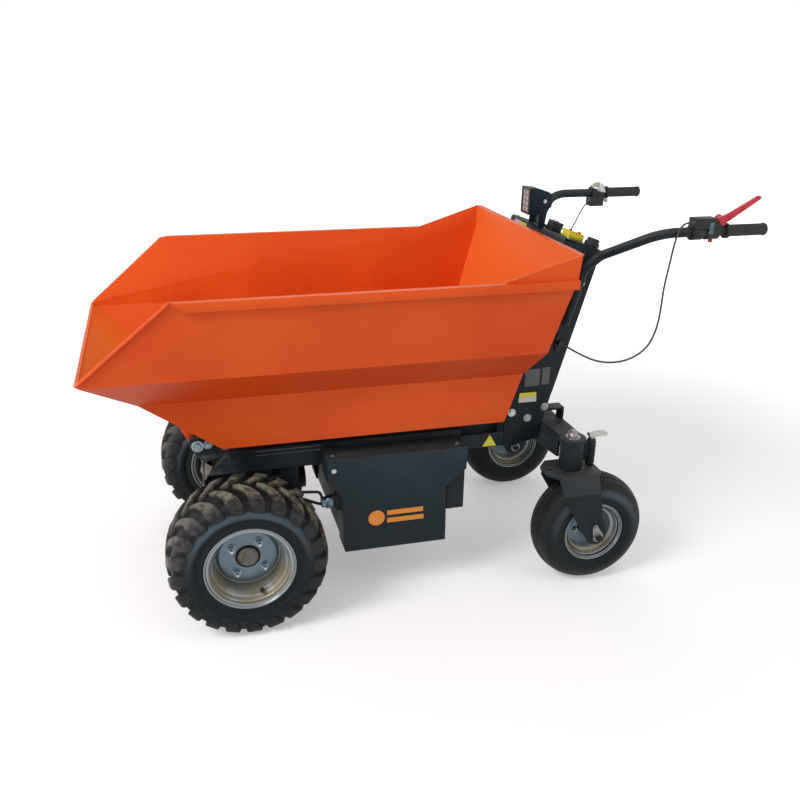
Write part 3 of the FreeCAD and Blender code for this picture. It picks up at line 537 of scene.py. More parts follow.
def softened(node, finish, width, smooth=30, body="chassis", below=None, above=None, label="look"):
    # the part's own shape with its sharp edges broken, in place of the plain node;
    # below and above hold the places on an axis (0, 1 or 2) past which it is cut off
    form = bmesh.new()
    form.from_mesh(nodes[node].data)
    bmesh.ops.remove_doubles(form, verts=form.verts, dist=1e-5)
    for way, limits in ((1, below or {}), (-1, above or {})):
        for axis, place in limits.items():
            unit = Vector([float(axis == k) for k in range(3)])
            cut = bmesh.ops.bisect_plane(form, geom=form.verts[:] + form.edges[:] + form.faces[:],
                                         plane_co=unit * place, plane_no=unit * way, clear_outer=True)
            rim = [e for e in cut["geom_cut"] if isinstance(e, bmesh.types.BMEdge)]
            bmesh.ops.holes_fill(form, edges=rim)
    bmesh.ops.dissolve_limit(form, angle_limit=math.radians(1.0), verts=form.verts, edges=form.edges)
    for face in form.faces:
        face.smooth = True
    mesh = bpy.data.meshes.new(node + "_form")
    form.to_mesh(mesh)
    form.free()
    rough = bpy.data.objects.new(node + "_rough", mesh)
    scene.collection.objects.link(rough)
    bevel = rough.modifiers.new("edges", "BEVEL")
    bevel.width, bevel.segments, bevel.limit_method = width, 2, "ANGLE"
    bevel.angle_limit = math.radians(smooth)
    bevel.harden_normals = True
    addPiece(node + "_" + label, plain(rough), finish, body, node)


# geometry node builders

class Builder(Tree):
    # a geometry tree with named inputs, ended by Realize Instances and Set Material
    def __init__(self, name, **sizes):
        group = bpy.data.node_groups.new(name, "GeometryNodeTree")
        super().__init__(group)
        kinds = {int: "NodeSocketInt", float: "NodeSocketFloat", tuple: "NodeSocketVector"}
        group.interface.new_socket("Geometry", in_out="INPUT", socket_type="NodeSocketGeometry")
        for label, value in sizes.items():
            socket = group.interface.new_socket(label, in_out="INPUT", socket_type=kinds[type(value)])
            socket.default_value = value
        group.interface.new_socket("Material", in_out="INPUT", socket_type="NodeSocketMaterial")
        group.interface.new_socket("Geometry", in_out="OUTPUT", socket_type="NodeSocketGeometry")
        self.start = group.nodes.new("NodeGroupInput")

    def __getitem__(self, label):
        return Value(self, self.start.outputs[label])

    def end(self, geometry):
        real = self.add("GeometryNodeRealizeInstances", {}, {"Geometry": geometry})
        dressed = self.add("GeometryNodeSetMaterial", {}, {"Geometry": real, "Material": self["Material"]})
        self.feed(self.tree.nodes.new("NodeGroupOutput").inputs["Geometry"], dressed)
        return self

    def grow(self, name, seed, finish, body="chassis", node=None, **sizes):
        # run the tree on a seed mesh and keep the result as a plain piece
        holder = bpy.data.objects.new(name + "_seed", seed)
        scene.collection.objects.link(holder)
        modifier = holder.modifiers.new("build", "NODES")
        modifier.node_group = self.tree
        sockets = {s.name: s.identifier for s in self.tree.interface.items_tree if s.in_out == "INPUT"}
        for label, value in {**sizes, "Material": finishes[finish]}.items():
            modifier[sockets[label]] = value
        addPiece(name, plain(holder), finish, body, node)


def ringBuilder():
    # copies of the seed round an axle along Y
    b = Builder("copiesRoundAxle", Count=8, Centre=(0.0, 0.0, 0.0), Phase=0.0)
    spots = b.add("GeometryNodeMeshLine", {}, {"Count": b["Count"], "Offset": (0, 0, 0)})
    angle = b.add("GeometryNodeInputIndex") * (math.tau / b["Count"]) + b["Phase"]
    turn = b.add("CombineXYZ", {}, {"Y": angle})
    copies = b.add("GeometryNodeInstanceOnPoints", {}, {"Points": spots, "Instance": b["Geometry"],
                                                        "Rotation": turn})
    return b.end(b.add("GeometryNodeTransform", {}, {"Geometry": copies, "Translation": b["Centre"]}))


def boltBuilder():
    # a washer and hexagon head at each seed point, standing along its "aim"
    b = Builder("boltsOnPoints", HeadRadius=0.008, HeadHeight=0.005, WasherRadius=0.01, WasherHeight=0.0015)
    bolt = b.tree.nodes.new("GeometryNodeJoinGeometry")
    for kind, edges, base in (("Head", 6, b["WasherHeight"]), ("Washer", 20, 0.0)):
        disc = b.add("GeometryNodeMeshCylinder", {}, {"Vertices": edges, "Radius": b[kind + "Radius"],
                                                      "Depth": b[kind + "Height"]})
        lift = b.add("CombineXYZ", {}, {"Z": b[kind + "Height"] * 0.5 + base})
        disc = b.add("GeometryNodeTransform", {}, {"Geometry": disc, "Translation": lift})
        b.tree.links.new(disc.socket, bolt.inputs[0])
    aim = b.add("GeometryNodeInputNamedAttribute", {"data_type": "FLOAT_VECTOR"}, {"Name": "aim"})
    turn = b.add("FunctionNodeAlignRotationToVector", {"axis": "Z"}, {"Vector": aim})
    return b.end(b.add("GeometryNodeInstanceOnPoints", {}, {
        "Points": b["Geometry"], "Instance": Value(b, bolt.outputs[0]), "Rotation": turn}))


def finBuilder():
    # a row of plates: size of one plate, first place and step between them
    b = Builder("rowOfPlates", Count=6, Start=(0.0, 0.0, 0.0), Step=(0.0, 0.0, 0.01),
                Plate=(0.01, 0.01, 0.002))
    spots = b.add("GeometryNodeMeshLine", {}, {"Count": b["Count"], "Start Location": b["Start"],
                                               "Offset": b["Step"]})
    plate = b.add("GeometryNodeMeshCube", {}, {"Size": b["Plate"]})
    return b.end(b.add("GeometryNodeInstanceOnPoints", {}, {"Points": spots, "Instance": plate}))


copiesRound, bolts, plates = ringBuilder(), boltBuilder(), finBuilder()


def boltSet(name, spots, radius, height, washer, finish="zinc", body="chassis"):
    # spots are (place, way the bolt stands)
    mesh = bpy.data.meshes.new("spots")
    mesh.from_pydata([spot for spot, aim in spots], [], [])
    layer = mesh.attributes.new("aim", "FLOAT_VECTOR", "POINT")
    for i, (spot, aim) in enumerate(spots):
        layer.data[i].vector = aim
    bolts.grow(name, mesh, finish, body, HeadRadius=radius, HeadHeight=height, WasherRadius=washer,
               WasherHeight=0.0015)


# wheels: profiles are (radius, distance from the wheel's middle plane)

driveTyre = {
    # half a section, from the crown's inside round the bead to the middle of the tread
    "section": [
        (0.1795, 0.041), (0.1497, 0.069), (0.1047, 0.061), (0.1047, 0.072), (0.1153, 0.075),
        (0.1167, 0.0785), (0.1197, 0.0792), (0.1227, 0.077), (0.1287, 0.0758), (0.1357, 0.077),
        (0.1382, 0.0795), (0.1407, 0.0792), (0.1447, 0.0812), (0.1497, 0.082), (0.1547, 0.0805),
        (0.1605, 0.0785), (0.171, 0.076), (0.181, 0.071), (0.1868, 0.062), (0.1894, 0.05),
        (0.1901, 0.03444), (0.1905, 0.0164)],
    # across a lug: share of its width, and whether it stands up there or is sunk to its root
    "flank": [(-0.5, 0), (-0.41, 1), (0.41, 1), (0.5, 0)], "root": -0.004,
    "lugs": 21, "sweep": 0.28, "reach": 0.2028, "out": 0.0817, "edge": (0.0017, 2), "phase": 0.1,
    # a lug at each station from the middle outwards: radius, across, height, width, share of the sweep
    "lug": [
        (0.1905, 0.003, 0.0122, 0.021, 0.0), (0.1904, 0.018, 0.0124, 0.024, 0.3),
        (0.1899, 0.034, 0.0124, 0.028, 0.54), (0.1884, 0.05, 0.012, 0.034, 0.71),
        (0.185, 0.063, 0.0108, 0.041, 0.8), (0.18, 0.0712, 0.0088, 0.044, 0.86),
        (0.173, 0.0756, 0.006, 0.042, 0.9), (0.1665, 0.0778, 0.0038, 0.038, 0.94),
        (0.1605, 0.0788, 0.0024, 0.033, 0.97), (0.156, 0.0796, 0.001, 0.027, 1.0)],
}
castorTyre = {
    "section": [
        (0.1475, 0.0236), (0.107, 0.051), (0.077, 0.038), (0.077, 0.046), (0.0876, 0.049),
        (0.089, 0.054), (0.093, 0.056), (0.097, 0.0555), (0.107, 0.0585), (0.115, 0.059),
        (0.127, 0.057), (0.1335, 0.053), (0.1415, 0.048), (0.146, 0.043), (0.145, 0.0415),
        (0.1485, 0.0395)],
    "top": 0.1595, "ribs": [0.034, 0.034 - 0.043 / 3, 0.034 - 0.086 / 3],
    # of a rib: place across from its outer edge, where its height is taken, how much lower it is
    "rib": [(0, 0, 0.0002), (0.001, 0, 0), (0.009, 0.009, 0), (0.0102, 0.01, 0.0035),
            (0.0125, 0.013, 0.0035)],
    "crown": (0.0085, 0.036),
}


def lug(across, offset):
    # one curved lug, with its side flanks sunk in the casing
    t, rings = driveTyre, []
    line = t["lug"]
    for i, (r, v, tall, wide, share) in enumerate(line):
        before, after = line[max(i - 1, 0)], line[min(i + 1, len(line) - 1)]
        along = Vector((after[0] - before[0], after[1] - before[1])).normalized()
        ring = []
        for edge, raised in t["flank"]:
            lift = tall if raised else t["root"]
            a = offset - t["sweep"] * share + edge * wide / r
            reach = min(r + along.y * lift, t["reach"])
            ring.append(Vector((reach * math.sin(a), across * min(v - along.x * lift, t["out"]),
                                reach * math.cos(a))))
        rings.append(ring)
    return rings


def buildDriveTyre(name, side):
    t, centre = driveTyre, middle("drive_rim_" + name)
    body, node = "drive_wheel_" + name, "drive_tyre_" + name
    casing = turned(t["section"] + mirrored(t["section"]), centre, 96)
    piece("drive_tyre_casing_" + name, "driveTyre" + name, casing, body=body, node=node, smooth=50)
    pair = meshOf("lug", lug(1, 0.0), lug(-1, math.pi / t["lugs"]), edge=t["edge"], sharp=0.7, outward=True,
                  smooth=40)
    copiesRound.grow("drive_tyre_lugs_" + name, pair, "driveLug" + name, body, node, Count=t["lugs"],
                     Centre=tuple(centre), Phase=t["phase"] * side)


def buildCastorTyre(name, side):
    t = castorTyre
    fall, half = t["crown"]
    height = lambda v: t["top"] - fall * (abs(v) / half) ** 2
    tread = [(height(v - at) - low, v - across) for v in t["ribs"] for across, at, low in t["rib"]]
    section = t["section"] + [(r, v) for r, v in tread if v > 0.003] + [(t["top"], 0.0015)]
    piece("castor_tyre_ribbed_" + name, "castorTyre" + name,
          turned(section + mirrored(section), middle("castor_rim_" + name), 96),
          body="castor_wheel_" + name, node="castor_tyre_" + name, smooth=40)


rimForms = {
    "driveLip": [
        (0.1149, 0.0768), (0.1147, 0.079), (0.113, 0.08), (0.1106, 0.0795), (0.109, 0.0775),
        (0.1068, 0.0715), (0.1042, 0.0668), (0.1006, 0.0642), (0.0992, 0.0615)],
    "driveDisc": [
        (0.0975, 0.0545), (0.0955, 0.0515), (0.0905, 0.0487), (0.0868, 0.0445), (0.085, 0.04),
        (0.0845, 0.013), (0.0832, 0.0082), (0.0812, 0.0072), (0.0752, 0.015), (0.0738, 0.0166),
        (0.0715, 0.0173), (0.0335, 0.0173), (0.0322, 0.0165), (0.032, 0.006), (0.0715, 0.011),
        (0.08, 0.003), (0.0828, -0.004), (0.0847, -0.009), (0.085, -0.016), (0.096, -0.047),
        (0.0992, -0.053)],
    "driveWell": [
        (0.1125, -0.074), (0.1027, -0.072), (0.1027, -0.052), (0.0887, -0.019), (0.0887, 0.046),
        (0.1027, 0.054), (0.1027, 0.074), (0.1125, 0.0745)],
    "castorHalf": [
        (0.0638, 0.03), (0.0793, 0.037), (0.0793, 0.048), (0.085, 0.049), (0.087, 0.0512),
        (0.0869, 0.053), (0.0855, 0.0539), (0.0836, 0.0534), (0.0823, 0.0515), (0.0802, 0.046),
        (0.0772, 0.043), (0.0747, 0.0405), (0.0727, 0.036), (0.0702, 0.033), (0.0642, 0.03),
        (0.0617, 0.027), (0.0604, 0.023), (0.06, 0.0055), (0.059, 0.0036), (0.055, 0.003),
        (0.033, 0.003), (0.0277, 0.005), (0.0262, 0.012), (0.0258, 0.049), (0.025, 0.05),
        (0.0112, 0.05)],
}


def buildRims(name, side):
    r = rimForms
    drive = r["driveLip"] + r["driveDisc"] + mirrored(r["driveLip"]) + r["driveWell"]
    castor = r["castorHalf"] + mirrored(r["castorHalf"])
    for kind, profile, steps, turn in (("drive", drive, 96, side), ("castor", castor, 80, 1)):
        node = kind + "_rim_" + name
        piece(kind + "_rim_pressed_" + name, kind + "Rim" + name, turned(profile, middle(node), steps, turn),
              body=kind + "_wheel_" + name, node=node, smooth=32)


hubLook = {
    "circle": 0.05, "face": 0.0172, "count": 4, "phase": 0.94,
    # from, to, radius, sides and end radius, outwards from the face: washer and nut, then the stud's end
    "nut": [(0, 0.0022, 0.0105, 20), (0.0022, 0.012, 0.009, 6, 0.0084)],
    "stud": (0.012, 0.0215, 0.0052, 16, 0.0042),
    "hub": [
        (0.0001, 0.0195), (0.0225, 0.0195), (0.0235, 0.0207), (0.0255, 0.0207), (0.0272, 0.019),
        (0.0275, 0.0055), (0.062, 0.0055), (0.062, -0.004), (0.034, -0.0045), (0.034, -0.038),
        (0.0001, -0.038)],
    "boreRing": [(0.0276, 0.007), (0.0322, 0.007), (0.0322, 0.0108), (0.0276, 0.0108)],
    "valve": [(-0.0285, 0.0455, -0.085), (-0.0275, 0.0575, -0.08), (-0.027, 0.0655, -0.078)],
    "valveRadii": (0.0055, 0.0042),
    # of the castor's disc bolts: circle, then from, to, radius and sides
    "castorCircle": 0.036, "castorBolt": [(0.003, 0.009, 0.0075, 6), (0.009, 0.013, 0.004, 12)],
    "castorPhase": 0.4,
}


def buildHub(name, side):
    h, centre, body = hubLook, middle("drive_rim_" + name), "drive_wheel_" + name
    spot, out = (0, side * h["face"], h["circle"]), (0, side, 0)
    for kind, finish, steps in (("nuts", "blueZinc", h["nut"]), ("studs", "zinc", [h["stud"]])):
        copiesRound.grow("drive_%s_%s" % (kind, name), meshOf(kind, *stack(spot, out, *steps)), finish, body,
                         Count=h["count"], Centre=tuple(centre), Phase=h["phase"])
    piece("drive_hub_turned_" + name, "hubSteel", turned(h["hub"], centre, side=side), body=body,
          node="drive_hub_" + name)
    piece("drive_bore_ring_" + name, "plastic", turned(h["boreRing"], centre, 48, side), body=body)
    valve = [centre + Vector((x, side * y, z)) for x, y, z in h["valve"]]
    piece("drive_valve_" + name, "plastic",
          *[bar(*ends, r, 16) for ends, r in zip(zip(valve, valve[1:]), h["valveRadii"])], body=body)
    discBolt = [solid for way in (1, -1)
                for solid in stack((0, 0, h["castorCircle"]), (0, way, 0), *h["castorBolt"])]
    copiesRound.grow("castor_bolts_" + name, meshOf("castorBolt", *discBolt), "dullZinc",
                     "castor_wheel_" + name, Count=h["count"], Centre=tuple(middle("castor_rim_" + name)),
                     Phase=h["castorPhase"])


for name, side in sides.items():
    buildDriveTyre(name, side)
    buildCastorTyre(name, side)
    buildRims(name, side)
    buildHub(name, side)
print("wheels done")


# parts that keep the frame's own shape, with broken edges or better paint

softenedParts = [
    # node, finish, width of the broken edges, other values
    ("column", "black", 0.0016, {}), ("axle_cradle", "black", 0.0016, {}),
    ("battery_case", "caseBlack", 0.0016, {}), ("console_top", "consoleCover", 0.0016, {}),
    ("castor_beam", "black", 0.0024, {}), ("front_beam", "black", 0.0034, {}),
    ("brake_lever", "red", 0.003, {}), ("hopper_tub", "orange", 0.0022, {"body": "hopper"}),
    ("tip_ears", "orange", 0.0012, {"body": "hopper"}),
    # the subframe's channels start behind a short front length, with a gap between
    ("hopper_subframe", "black", 0.0016, {"body": "hopper", "below": {0: 0.4545}, "label": "channels"}),
    ("hopper_subframe", "black", 0.003, {"body": "hopper", "above": {0: 0.4585}, "label": "front"}),
    ("headlight", "lampBody", 0.002, {"above": {1: -0.017}}),
    ("brake_clamp", "plastic", 0.003, {"above": {0: -0.7}, "label": "housing"}),
    ("brake_clamp", "plastic", 0.0015, {"below": {0: -0.7, 2: 1.002}, "label": "ring"}),
    ("throttle", "plastic", 0.003, {"above": {0: -0.7265}, "below": {2: 1.0015}}),
    # the console's switch box, isolator and push button are one node in three finishes
    ("console_controls", "plastic", 0.002, {"below": {1: 0.073}, "label": "switch"}),
    ("console_controls", "yellow", 0.003, {"above": {1: 0.073}, "below": {1: 0.1365}, "label": "isolator"}),
    ("console_controls", "plastic", 0.004, {"above": {1: 0.1365}, "label": "button"}),
]
for name in sides:
    softenedParts += [
        ("rail_" + name, "rail", 0.0034, {}), ("rear_plate_" + name, "black", 0.0016, {}),
        ("battery_cover_" + name, "cover", 0.0034, {}),
        ("castor_fork_" + name, "black", 0.0016, {"smooth": 14, "body": "castor_" + name,
                                                  "below": {2: 0.4365}}),
        ("castor_lock_" + name, "black", 0.0012, {"below": {2: 0.4245}}),
        ("castor_lock_" + name, "zinc", 0.0012, {"above": {2: 0.432}, "label": "handle"}),
    ]
for node, finish, width, values in softenedParts:
    softened(node, finish, width, **values)

painted = {"handlebar_left": "black", "handlebar_right": "black", "grip_left": "grip", "grip_right": "grip",
           "tip_shaft": "zinc", "drive_axle": "cast", "drive_motor": "cast", "lift_cylinder": "black",
           "lift_rod": "chrome"}
for node, finish in painted.items():
    nodes[node].data.materials.clear()
    nodes[node].data.materials.append(finishes[finish])
    for polygon in nodes[node].data.polygons:
        polygon.material_index = 0
print("paint done")


# small parts: each table names a part, its finish, its solids and how the piece is made

def mirroredY(solids, side):
    return [[[Vector((p.x, p.y * side, p.z)) for p in ring] for ring in rings] for rings in solids]


def makeParts(parts):
    for name, (finish, solids, *values) in parts.items():
        piece(name, finish, *solids, **dict(*values))


castorY = middle("castor_rim_left").y
lockFoot, up, ahead = (-0.441, castorY, 0), (0, 0, 1), (1, 0, 0)
sidedParts = {
    # on the left, and mirrored on the right: the folded edges of the hopper's channels along the rail, the
    # pale lips a painted highlight
    "rail_bands": ("black", [slab((x0, 0.1795, 0.4125), (x1, 0.1804, 0.4332))
                             for x0, x1 in ((0.24, 0.4555), (0.4605, 0.52))]),
    # pale strips: a painted highlight on the folded lips
    "rail_lip_highlights": ("lip", [slab((0.285, 0.1795, z), (0.4545, 0.181, z + 0.0016)) for z in (0.416, 0.4275)]),
    # a pale grey-beige film on the rail's mitred front
    "rail_gusset": ("bareEdge", [prism([(0.591, 0.169, 0.411), (0.568, 0.1804, 0.397), (0.588, 0.1725, 0.357),
                                        (0.597, 0.166, 0.384)], (-0.002, 0, 0))]),
    "cover_emblem": ("signOrange", [bar((0.151, 0.26, 0.236), (0.151, 0.2605, 0.236), 0.0225, 48),
                                    slab((0.022, 0.26, 0.241), (0.122, 0.2605, 0.255)),
                                    slab((0.02, 0.26, 0.218), (0.122, 0.2605, 0.232))]),
    "sign_triangle": ("signYellow", [prism([(-0.191, 0.18, 0.4095), (-0.1705, 0.18, 0.375),
                                            (-0.2115, 0.18, 0.375)], (0, 0.0005, 0))]),
    "grip_end": ("grip", [flared((0, 0.318, 0.981), ahead, 36,
                                 (-0.8538, 0.015), (-0.85, 0.0166), (-0.844, 0.0151))]),
    # the castor's lock: stem, plunger and bent tab
    "lock_stem": ("zinc", stack(lockFoot, up, (0.4235, 0.433, 0.0075, 20, 0.0095))),
    "lock_pin": ("zinc", stack(lockFoot, up, (0.3435, 0.3485, 0.0055, 20))),
    "lock_tab": ("zinc", [slab((-0.4825, castorY - 0.0105, 0.4385), (-0.446, castorY + 0.0105, 0.4412))]),
}
fittingStart, motorY = (0.237, 0.198, 0.268), -0.095
chassisParts = {
    # hose fitting on the battery case: body, then the plug's hexagon and round end
    "case_fitting": ("plastic", stack(fittingStart, ahead, (0, 0.022, 0.0265, 28)), {"edge": (0.006, 3)}),
    "case_fitting_plug": ("plugBlue", stack(fittingStart, ahead, (0.022, 0.04, 0.0185, 6),
                                            (0.0385, 0.052, 0.0148, 20)), {"edge": (0.001, 1)}),
    "hose_1": ("plastic", [tube(smoothed([
        (0.286, 0.198, 0.282), (0.294, 0.1985, 0.2985), (0.31, 0.1985, 0.302), (0.33, 0.196, 0.303),
        (0.345, 0.189, 0.302), (0.356, 0.1725, 0.3)]), 0.004)]),
    "hose_2": ("plastic", [tube(smoothed([
        (0.286, 0.198, 0.262), (0.302, 0.199, 0.268), (0.322, 0.196, 0.276), (0.34, 0.187, 0.28),
        (0.354, 0.1725, 0.28)]), 0.004)]),
    "motor_fins": ("cast", [bar((x, motorY, 0.203), (x + 0.0035, motorY, 0.203), 0.0485, 48)
                            for x in (0.306 + 0.012 * k for k in range(9))]),
    "motor_lead": ("plastic", [tube(smoothed([
        (0.3, motorY, 0.235), (0.285, motorY, 0.262), (0.28, motorY + 0.004, 0.3),
        (0.284, motorY + 0.006, 0.34), (0.29, motorY + 0.004, 0.3675)]), 0.0055)]),
    # blank films on the column's left side
    "sign_columnWhite": ("signWhite", [slab((-0.322, 0.18, 0.4975), (-0.27, 0.1804, 0.5135))]),
    "sign_columnYellow": ("signYellow", [slab((-0.321, 0.18, 0.5135), (-0.271, 0.1804, 0.5255))]),
    "sign_columnGrey1": ("signGrey", [slab((-0.328, 0.18, 0.544), (-0.284, 0.1804, 0.593))]),
    "sign_columnGrey2": ("signGrey", [slab((-0.357, 0.18, 0.546), (-0.334, 0.1804, 0.596))]),
    "cable_gland": ("plastic", [bar((-0.3725, 0.18, z), (-0.3725, 0.185, z), 0.0065, 16)
                                for z in (0.6465, 0.6845)]
                    + [slab((-0.3825, 0.18, 0.6485), (-0.3645, 0.184, 0.6825)),
                       bar((-0.3735, 0.18, 0.6655), (-0.3765, 0.192, 0.6645), 0.0105, 6, 0.008925)]),
}
liftFoot, liftEye = Vector((0.366, 0, 0.2)), Vector((0.48, 0, 0.436))
liftParts = {
    "lift_band": ("zinc", stack(liftFoot, (liftEye - liftFoot).normalized(), (0.034, 0.04, 0.0276, 40)),
                  {"body": "lift_barrel"}),
}
boltRows = {
    # places (x, y, z) on the left, mirrored on the right, standing outwards along y;
    # then head radius, head height, washer radius and finish
    "rear_plate_bolts": ([(-0.349, 0.18, 0.479), (-0.252, 0.18, 0.47), (-0.3, 0.18, 0.45)],
                         0.0082, 0.006, 0.0115, "zinc"),
    "column_bolts": ([(-0.427, 0.18, 0.826)], 0.0055, 0.004, 0.0075, "zinc"),
    "tip_bolts": ([(0.6, 0.191, 0.463)], 0.0095, 0.006, 0.013, "blueZinc"),
    "bracket_bolts": ([(0.574, 0.18, 0.461)], 0.008075, 0.007, 0.0115, "blueZinc"),
    "hanger_bolts": ([(0.47, 0.16, 0.392), (0.43, 0.16, 0.392)], 0.0065, 0.005, 0.009, "zinc"),
}
coverScrews = {"face": (0.265, 0.26, 0.389), "lid": [(-0.078, 0.23, 0.419), (0.262, 0.23, 0.419)],
               "size": (0.0052, 0.0028, 0.0066)}
gearCase = {"middle": Vector((0.5, motorY, 0.203)), "half": 0.055, "circle": 0.064, "count": 8,
            "size": (0.005, 0.004, 0.0065)}


def buildBolts():
    turn = lambda place, s: (place[0], s * place[1], place[2])
    for name, (places, *size) in boltRows.items():
        boltSet(name, [(turn(place, s), (0, s, 0)) for place in places for s in (1, -1)], *size)
    spots = []
    for s in (1, -1):
        spots.append((turn(coverScrews["face"], s), (0, s, 0)))
        spots += [(turn(place, s), up) for place in coverScrews["lid"]]
    boltSet("cover_screws", spots, *coverScrews["size"])
    g, spots = gearCase, []
    for s in (1, -1):
        for a in (math.tau * (k + 0.5) / g["count"] for k in range(g["count"])):
            away = Vector((g["circle"] * math.cos(a), s * g["half"], g["circle"] * math.sin(a)))
            spots.append((g["middle"] + away, (0, s, 0)))
    boltSet("gear_case_bolts", spots, *g["size"])


# the sloping front strip under the console: its edges (x, z), then films: y, share of the way down, finish
strip = {"top": (-0.364, 0.946), "low": (-0.356, 0.914), "film": 0.0004,
         "labels": [((-0.146, -0.104), (0.1, 0.62), "signWhite"),
                    ((-0.103, -0.06), (0.14, 0.7), "signYellow"),
                    ((-0.01, 0.152), (0.62, 0.8), "signWhite")]}


def corners(first, second):
    return [(first[0], second[0]), (first[1], second[0]), (first[1], second[1]), (first[0], second[1])]


def buildStrip():
    top, low = [Vector((x, 0, z)) for x, z in (strip["top"], strip["low"])]
    down = low - top
    out = Vector((-down.z, 0, down.x)).normalized() * strip["film"]
    for i, (y, reach, finish) in enumerate(strip["labels"]):
        outline = [top + down * share + Vector((0, across, 0)) for across, share in corners(y, reach)]
        piece("sign_strip_%d" % (i + 1), finish, prism(outline, out))


lampLook = {
    "face": -0.324, "right": -0.017, "left": 0.038, "low": 0.985, "high": 1.056, "frame": 0.006,
    "proud": 0.0022, "sunk": 0.001, "glass": 0.0006, "legGap": 0.0005,
    "rows": 4, "columns": 2, "cell": 0.0058, "cellDeep": 0.0008, "cellTaper": 0.86,
    "bolt": (-0.366, 0.042, 1.021), "boltSize": (0.0036, 0.003, 0.005), "legThick": 0.0035,
    "leg": [(-0.355, 1.018), (-0.361, 1.029), (-0.372, 1.03), (-0.379, 1.019), (-0.369, 0.951),
            (-0.349, 0.951)],
    "footX": (-0.371, -0.349), "footZ": (0.9515, 0.9545), "footEnd": 0.036, "leadRadius": 0.0018,
    "fins": {"Count": 6, "Start": (-0.3885, 0.0105, 1.0065), "Step": (0.0, 0.0, 0.0058),
             "Plate": (0.005, 0.046, 0.0022)},
    "sideFins": {"Count": 5, "Step": (-0.0008, 0.0, 0.0095), "Plate": (0.03, 0.0014, 0.003)},
    "sideFinStart": (-0.345, 1.0), "sideFinOut": 0.0004,
    "lead": [(-0.352, 0.03, 0.986), (-0.348, 0.031, 0.975), (-0.351, 0.03, 0.963), (-0.357, 0.028, 0.9555)],
}


def buildLamp():
    l = lampLook
    x0, x1, back, w = l["face"], l["face"] + l["proud"], l["face"] - l["sunk"], l["frame"]
    right, left, low, high = l["right"], l["left"], l["low"], l["high"]
    piece("lamp_frame", "lampFrame", slab((back, right, low), (x1, right + w, high)),
          slab((back, left - w, low), (x1, left, high)),
          *[slab((back, right + w, z), (x1, left - w, z + w)) for z in (low, high - w)])
    face = x0 + l["glass"]
    piece("lamp_glass", "lampGlass", slab((x0, right + w, low + w), (face, left - w, high - w)))
    wide, tall = (left - right - 2 * w) / l["columns"], (high - low - 2 * w) / l["rows"]
    cells = [(face, right + w + wide * (i + 0.5), low + w + tall * (k + 0.5))
             for i in range(l["columns"]) for k in range(l["rows"])]
    piece("lamp_reflectors", "reflector",
          *[bar(c, (face + l["cellDeep"], *c[1:]), l["cell"], 20, l["cell"] * l["cellTaper"]) for c in cells])
    x, y, z = l["bolt"]
    inner = right - l["legGap"]
    outer = inner - l["legThick"]
    boltSet("lamp_bolts", [((x, y, z), (0, 1, 0)), ((x, outer, z), (0, -1, 0))], *l["boltSize"])
    side = [(x, inner, z) for x, z in l["leg"]]
    (footX0, footX1), (footZ0, footZ1) = l["footX"], l["footZ"]
    piece("lamp_leg", "lampBody", prism(side, (0, -l["legThick"], 0)),
          slab((footX0, outer, footZ0), (footX1, l["footEnd"], footZ1)))
    piece("lamp_lead", "plastic", tube(smoothed(l["lead"]), l["leadRadius"]))
    seed = bpy.data.meshes.new("finSeed")
    plates.grow("lamp_fins", seed, "lampBody", **l["fins"])
    x, z = l["sideFinStart"]
    for name, y in (("left", left + l["sideFinOut"]), ("right", right - l["sideFinOut"])):
        plates.grow("lamp_side_fins_" + name, seed, "lampBody", Start=(x, y, z), **l["sideFins"])


# console and handlebar controls; on the slope a place is along it from the middle, y across, height over it
consoleTop = {"middle": (-0.4232, 0.93042), "slope": math.atan2(37.2, 104.4)}


def onSlope(along, y, high):
    c, s = math.cos(consoleTop["slope"]), math.sin(consoleTop["slope"])
    x, z = consoleTop["middle"]
    return Vector((x + along * c - high * s, y, z + along * s + high * c))


def slopeBar(along, y, low, high, radius, steps):
    return bar(onSlope(along, y, low), onSlope(along, y, high), radius, steps)


def slopeFace(along, y, high):
    return [onSlope(a, b, high) for a, b in corners(along, y)]


